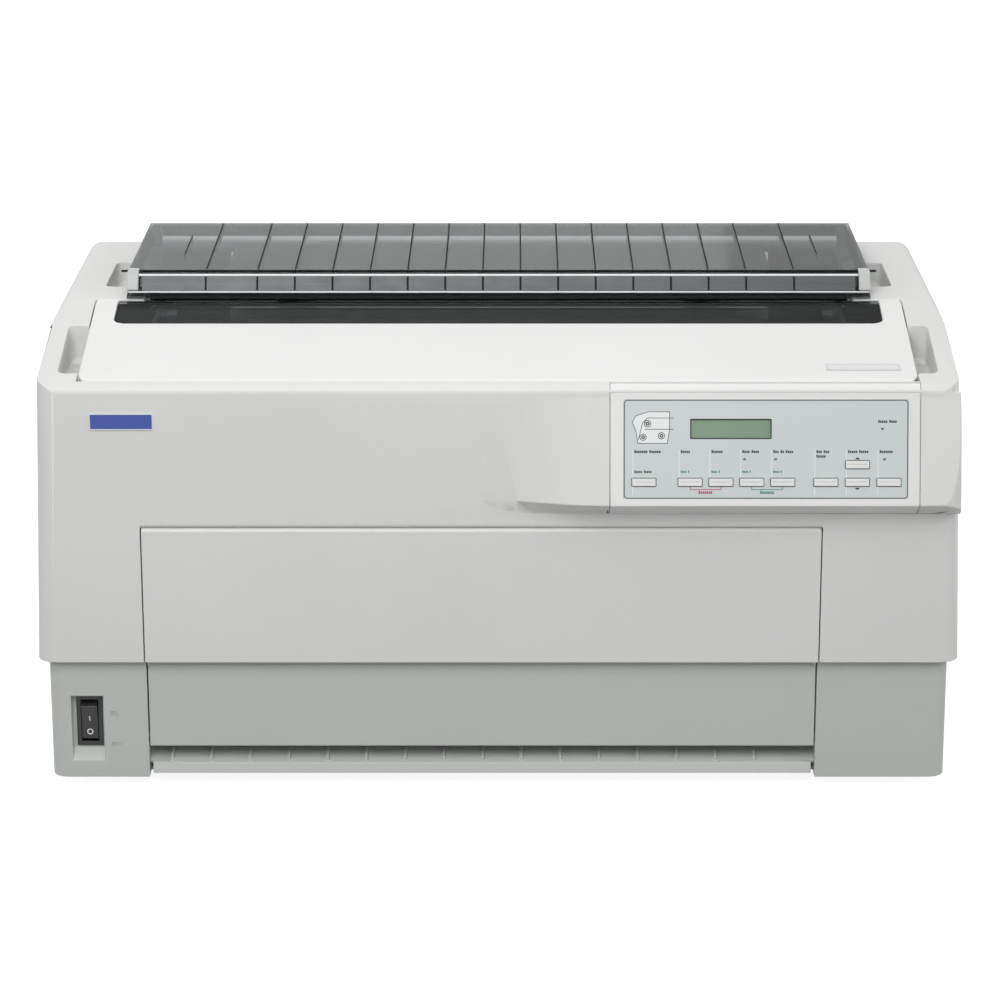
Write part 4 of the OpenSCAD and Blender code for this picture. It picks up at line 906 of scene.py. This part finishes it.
display = {"x0": 143.0, "x1": 202.4, "s0": 50.5, "s1": 64.5, "line": 0.55, "corner": 0.4}
x0, x1, s0, s1 = (display[side] for side in ("x0", "x1", "s0", "s1"))
line = display["line"]
frameOuter = roundRect(x0 - line, x1 + line, s0 - line, s1 + line, 0.9)
frameInner = roundRect(x0, x1, s0, s1, display["corner"])
printOnFilm("displayBorder", extras["darkPrint"], [], [(frameOuter, frameInner)])

# the bezel runs on over the case's nose, up to a seam
nose = {"y": -163.0, "z": 312.98, "radius": 9.0, "from": 152.0, "to": 112.0, "proud": 0.15, "sunk": 0.3,
        "face": (79.3, 84.4), "seam": 0.45, "seamProud": 0.04, "crossSeam": 1.6, "overhang": 0.5}
bezelLow, bezelHigh = boxOf("panel_bezel")


def noseArc(radius, first, last, steps=8):
    turn = [math.radians(first + (last - first) * i / steps) for i in range(steps + 1)]
    return [(nose["y"] + radius * math.cos(a), nose["z"] + radius * math.sin(a)) for a in turn]


def noseStrip(work, high, first, last, x0, x1, onFace=False):
    # a skin over the nose, which may start on the panel's face
    outside = noseArc(nose["radius"] + high, first, last)
    inside = noseArc(nose["radius"] - nose["sunk"], first, last)
    if onFace:
        outside = [tuple(onPanel(0, s, high).yz) for s in nose["face"]] + outside
        inside = [tuple(onPanel(0, s, -nose["sunk"]).yz) for s in nose["face"]] + inside
    addAcross(work, outside + inside[::-1], x0, x1)


work = bmesh.new()
noseStrip(work, nose["proud"], nose["from"], nose["to"], bezelLow.x, bezelHigh.x, onFace=True)
finishPiece("bezelTop", work, "root", finishes[slotOf["panel_bezel"]])
# dark strips in the bezel's seams, painted shade of the gaps
work = bmesh.new()
seamTurn = math.degrees(nose["seam"] / nose["radius"])
noseStrip(work, nose["seamProud"], nose["to"], nose["to"] - nose["crossSeam"] * seamTurn,
          bezelLow.x - nose["overhang"], bezelHigh.x + nose["overhang"])
for x in (bezelLow.x - nose["seam"], bezelHigh.x):
    noseStrip(work, nose["seamProud"], nose["from"], nose["to"], x, x + nose["seam"])
finishPiece("bezelSeam", work, "root", extras["seamShade"])
print("key panel drawn")


# Badge and name plate

badge = {"border": 0.9, "thick": 0.8, "fieldSunk": 0.12, "outerCorner": 0.9, "innerCorner": 0.4}
low, high = boxOf("badge_plate")


def onFront(y):
    return lambda a, b, height: Vector((a, y - height, b))


edge = badge["border"]
badgeOuter = roundRect(low.x, high.x, low.z, high.z, badge["outerCorner"])
badgeInner = roundRect(low.x + edge, high.x - edge, low.z + edge, high.z - edge, badge["innerCorner"])
work = bmesh.new()
addPrism(work, badgeInner, onFront(high.y), 0.0, badge["thick"] - badge["fieldSunk"])
finishPiece("badgeField", work, "root", finishes["badge_blue"])
work = bmesh.new()
addBand(work, badgeOuter, badgeInner, onFront(high.y), 0.0, badge["thick"])
border = finishPiece("badgeBorder", work, "root", finishes["plate_silver"])
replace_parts(border, "badge_plate")

# the name plate lies on the lid's slope, with a shallow frame line
plate = {"thick": 0.5, "raised": 0.2, "inset": 0.1, "corner": 0.9, "round": 0.18,
         "edge": 0.9, "line": 0.35, "lineDeep": 0.3, "lineProud": 0.03}
low, high = boxOf("name_plate")
lean = math.atan2(lidSlope["rise"], lidSlope["run"])
slopeRun = (high.y - low.y) / math.cos(lean)


def onSlope(a, b, height):
    return Vector((a, low.y + b * math.cos(lean) - height * math.sin(lean),
                   low.z + plate["raised"] + b * math.sin(lean) + height * math.cos(lean)))


work = bmesh.new()
addPrism(work, roundRect(low.x, high.x, plate["inset"], slopeRun - plate["inset"], plate["corner"]),
         onSlope, 0.0, plate["thick"])
rims = [e for e in work.edges if e.calc_face_angle(0) > 1.2]
bmesh.ops.bevel(work, geom=rims, offset=plate["round"], segments=2, profile=0.5, affect="EDGES",
                clamp_overlap=True)
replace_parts(finishPiece("namePlate", work, "lid", finishes["plate_silver"]), "name_plate")
edge, wide = plate["edge"], plate["edge"] + plate["line"]
work = bmesh.new()
addBand(work, roundRect(low.x + edge, high.x - edge, edge, slopeRun - edge, 0.6),
        roundRect(low.x + wide, high.x - wide, wide, slopeRun - wide, 0.4), onSlope,
        plate["thick"] - plate["lineDeep"], plate["thick"] + plate["lineProud"])
finishPiece("namePlateLine", work, "lid", extras["plateLine"])
print("plates fitted")


# Power switch marks

rocker = {"x": -313.0, "y": -152.0, "z": 51.8, "tilt": 7.0, "middle": -6.0, "end": (-8.5, 15.9)}
mark = {"low": -0.05, "high": 0.08, "barHalf": 0.45, "bar": (0.8, 4.8), "ringAt": 8.3, "ring": (2.4, 1.6)}


def onRocker(side):
    # the rocker's faces slope in from its ends to its middle; side is 1 for the upper one, -1 for the lower
    turn = math.radians(rocker["tilt"])
    middle, end = Vector((rocker["middle"], 0.0)), Vector((rocker["end"][0], side * rocker["end"][1]))
    along = (end - middle).normalized()
    out = Vector((-abs(along.y), side * along.x))

    def place(a, b, height):
        y, z = middle + along * b + out * height
        return Vector((rocker["x"] + a, rocker["y"] + y * math.cos(turn) - z * math.sin(turn),
                       rocker["z"] + y * math.sin(turn) + z * math.cos(turn)))
    return place


ringOuter, ringInner = [ring(0, mark["ringAt"], radius) for radius in mark["ring"]]
work = bmesh.new()
addPrism(work, rect(-mark["barHalf"], mark["barHalf"], *mark["bar"]), onRocker(1), mark["low"], mark["high"])
addBand(work, ringOuter, ringInner, onRocker(-1), mark["low"], mark["high"])
finishPiece("switchMarks", work, "rocker", extras["whitePrint"])

# raised ON and OFF beside the switch
letters = {"tall": 2.7, "wide": 2.0, "line": 0.42, "pitch": 2.9, "x": -295.6, "on": 59.1, "off": 33.8,
           "proud": 0.22, "sunk": 0.05}
letterLines = {
    "O": [[(0, 0.2), (0, 0.8), (0.25, 1), (0.75, 1), (1, 0.8), (1, 0.2), (0.75, 0), (0.25, 0), (0, 0.2)]],
    "N": [[(0, 0), (0, 1), (1, 0), (1, 1)]],
    "F": [[(0, 0), (0, 1), (1, 1)], [(0, 0.52), (0.8, 0.52)]],
}


def letterShapes(letter, x, z):
    shapes = []
    for line in letterLines[letter]:
        points = [(x + a * letters["wide"], z + b * letters["tall"]) for a, b in line]
        shapes += stroke(points, letters["line"])
    return shapes


work = bmesh.new()
letterFace = onFront(boxOf("base_case")[0].y + letters["sunk"])
for word, z in (("ON", letters["on"]), ("OFF", letters["off"])):
    for i, letter in enumerate(word):
        for shape in letterShapes(letter, letters["x"] + i * letters["pitch"], z):
            addPrism(work, shape, letterFace, 0.0, letters["proud"] + letters["sunk"])
finishPiece("switchWords", work, "root", finishes["base_plastic"])
print("switch marked")


# Sockets in the rear panel

sockets = {
    "z": 52.0, "face": 185.0, "inlet": -211.0, "parallel": 91.0, "serial": 170.0,
    "blades": ((-7, -3), (0, 3.2), (7, -3)), "bladeHalf": (1, 2.3), "bladeRun": (170.9, 182),
    "pinRows": ((1.6, 13), (-1.6, 12)), "pinPitch": 2.2, "pinFrom": 178.9,
    "posts": (("parallel", 35.0), ("serial", 24.0)), "postSunk": 0.1,
    "tongueHalf": (23, 1.5), "tongueRun": (178.9, 188),
    "contacts": 18, "contactPitch": 2.4, "contactHalf": (0.6, 1.62), "contactRun": (179.4, 187.2),
}
pinProfile = [(0, 0), (0.5, 0), (0.5, 6.2), (0, 6.8)]
postProfile = [(0, 0), (2.6, 0), (2.6, 3.6), (1.5, 3.6), (1.3, 1.0), (0, 1.0)]
backward = (0, 1, 0)


def addBar(work, x, z, half, run, radius=0.0):
    # a bar that runs to the back, half is half its width and half its height
    addBox(work, (x - half[0], run[0], z - half[1]), (x + half[0], run[1], z + half[1]), radius)


def places(count, pitch):
    # where count pieces of an even row stand, about its middle
    return [(i - (count - 1) / 2) * pitch for i in range(count)]


work = bmesh.new()
for x, z in sockets["blades"]:
    addBar(work, sockets["inlet"] + x, sockets["z"] + z, sockets["bladeHalf"], sockets["bladeRun"], 0.3)
for row, count in sockets["pinRows"]:
    for x in places(count, sockets["pinPitch"]):
        spot = (sockets["serial"] + x, sockets["pinFrom"], sockets["z"] + row)
        addTurned(work, pinProfile, facing(spot, backward), 8)
for socket, out in sockets["posts"]:
    for x in (-out, out):
        spot = (sockets[socket] + x, sockets["face"] - sockets["postSunk"], sockets["z"])
        addTurned(work, postProfile, facing(spot, backward), 6)
finishPiece("socketPins", work, "root", extras["tin"])
work = bmesh.new()
addBar(work, sockets["parallel"], sockets["z"], sockets["tongueHalf"], sockets["tongueRun"], 0.3)
finishPiece("parallelTongue", work, "root", finishes["black_plastic"])
work = bmesh.new()
for x in places(sockets["contacts"], sockets["contactPitch"]):
    addBar(work, sockets["parallel"] + x, sockets["z"], sockets["contactHalf"], sockets["contactRun"])
finishPiece("parallelContacts", work, "root", extras["goldPlate"])
print("sockets filled")


# Main board, power supply, ribbon and pin belts

board = {"low": (-80, 10, 26), "high": (250, 168, 27.6)}
chip = {"spots": ((-40, 40), (40, 90), (120, 60)), "side": 34.0, "tall": 3.4, "inset": 1.2, "foot": 0.4,
        "legs": 14, "legInset": 3.6, "legHalf": 0.4, "legTall": 1.2}
smallChip = {"spots": ((-58, 110), (-58, 130), (0, 140), (90, 134)), "long": 24, "wide": 7.6, "tall": 3.3,
             "inset": (0.6, 1), "foot": 0.5, "legs": 10, "legPitch": 2.4, "firstLeg": 1.5, "legWide": 0.6,
             "legLong": 8.6, "legTall": 1.4}
capacitor = {"xs": (190, 210, 230), "y": 120, "radius": 8.0, "tall": 24.0}
top = board["high"][2]
work = bmesh.new()
addBox(work, board["low"], board["high"], 0.3)
boardPiece = finishPiece("mainBoard", work, "root", finishes["circuit_board"])
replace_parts(boardPiece, "main_board")

chips, legs = bmesh.new(), bmesh.new()
for x, y in chip["spots"]:
    side, inset, half = chip["side"], chip["inset"], chip["legHalf"]
    addBox(chips, (x + inset, y + inset, top + chip["foot"]),
           (x + side - inset, y + side - inset, top + chip["tall"]), 0.4)
    for i in range(chip["legs"]):
        at = chip["legInset"] + i * (side - 2 * chip["legInset"]) / (chip["legs"] - 1)
        addBox(legs, (x, y + at - half, top), (x + side, y + at + half, top + chip["legTall"]))
        addBox(legs, (x + at - half, y, top), (x + at + half, y + side, top + chip["legTall"]))
for x, y in smallChip["spots"]:
    insetX, insetY = smallChip["inset"]
    addBox(chips, (x + insetX, y + insetY, top + smallChip["foot"]),
           (x + smallChip["long"], y + smallChip["wide"], top + smallChip["tall"]), 0.4)
    for i in range(smallChip["legs"]):
        at = x + smallChip["firstLeg"] + i * smallChip["legPitch"]
        addBox(legs, (at, y, top),
               (at + smallChip["legWide"], y + smallChip["legLong"], top + smallChip["legTall"]))
finishPiece("boardChips", chips, "root", extras["chipBlack"])
finishPiece("chipLegs", legs, "root", extras["tin"])

# each capacitor has a groove near its foot and a bare end inside the sleeve's lip
radius, tall = capacitor["radius"], capacitor["tall"]
sleeveProfile = [(0, 0), (radius, 0), (radius, 1.6), (radius - 0.5, 2.3), (radius, 3.0), (radius, tall - 1.0),
                 (radius - 0.9, tall - 0.1), (radius - 1.6, tall - 0.2), (0, tall - 0.2)]
endProfile = [(0, tall - 0.4), (radius - 1.7, tall - 0.4), (radius - 1.7, tall - 0.05), (0, tall - 0.05)]
sleeves, ends = bmesh.new(), bmesh.new()
for x in capacitor["xs"]:
    spot = Matrix.Translation((x, capacitor["y"], top - 0.1))
    addTurned(sleeves, sleeveProfile, spot)
    addTurned(ends, endProfile, spot)
finishPiece("capacitorSleeves", sleeves, "root", extras["capBlue"])
finishPiece("capacitorEnds", ends, "root", extras["tin"])

# black strips on the supply's top stand for its vent slots: painted shade of the slots
vents = {"count": 14, "inset": (20, 25), "half": 1.5, "deep": 0.2, "proud": 0.05}
work = bmesh.new()
low, high = boxOf("power_supply")
insetX, insetY = vents["inset"]
for i in range(vents["count"]):
    x = low.x + insetX + i * (high.x - low.x - 2 * insetX) / (vents["count"] - 1)
    addBox(work, (x - vents["half"], low.y + insetY, high.z - vents["deep"]),
           (x + vents["half"], high.y - insetY, high.z + vents["proud"]))
finishPiece("supplyVents", work, "root", extras["blackPrint"])

ribbon = {"half": 225, "front": 9.35, "back": 10.05, "foot": 269.4, "top": 282.6}
work = bmesh.new()
addBox(work, (-ribbon["half"], ribbon["front"], ribbon["foot"]),
       (ribbon["half"], ribbon["back"], ribbon["top"]))
finishPiece("ribbonCloth", work, "root", extras["ribbonCloth"])

# the front tractors' belts stand upright, the rear ones lie flat
pinBelt = {"x": 165.0, "half": 3.0, "reach": 26.0, "round": 0.15,
           "frontY": (-130.4, -129.8), "frontMiddle": 154, "rearMiddle": 128, "rearZ": (316.8, 317.4)}
half, reach = pinBelt["half"], pinBelt["reach"]
for node in ("front_left_tractor", "front_right_tractor", "rear_left_tractor", "rear_right_tractor"):
    x = -pinBelt["x"] if "left" in node else pinBelt["x"]
    if node.startswith("front"):
        y = pinBelt["frontY"]
        z = (pinBelt["frontMiddle"] - reach, pinBelt["frontMiddle"] + reach)
    else:
        y = (pinBelt["rearMiddle"] - reach, pinBelt["rearMiddle"] + reach)
        z = pinBelt["rearZ"]
    work = bmesh.new()
    addBox(work, (x - half, y[0], z[0]), (x + half, y[1], z[1]), pinBelt["round"])
    finishPiece(pieceName(node, "PinBelt"), work, bodyOf[node], finishes["belt_rubber"])
print("inside pieces added")


# Inner nodes: some get rounded edges, the rest keep their shape

innerRefined = {"rear_panel": 0.4, "chassis_plate": 0.3, "front_paper_guide": 0.2, "rear_paper_guide": 0.2,
                "power_supply": 1.0, "ribbon_cartridge": 0.9, "carriage": 0.6, "print_head": 0.4,
                "carriage_belt": 0.2, "left_side_frame": 0.3, "right_side_frame": 0.3}
for node, radius in innerRefined.items():
    refine(node, radius)
replaced = {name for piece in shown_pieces() for name in piece.get("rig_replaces", [])}
for node in nodes:
    if node not in replaced:
        dress(node, extras["flapPlastic"] if node.endswith("_flap") else None)
print("nodes dressed:", len(nodes) - len(replaced))
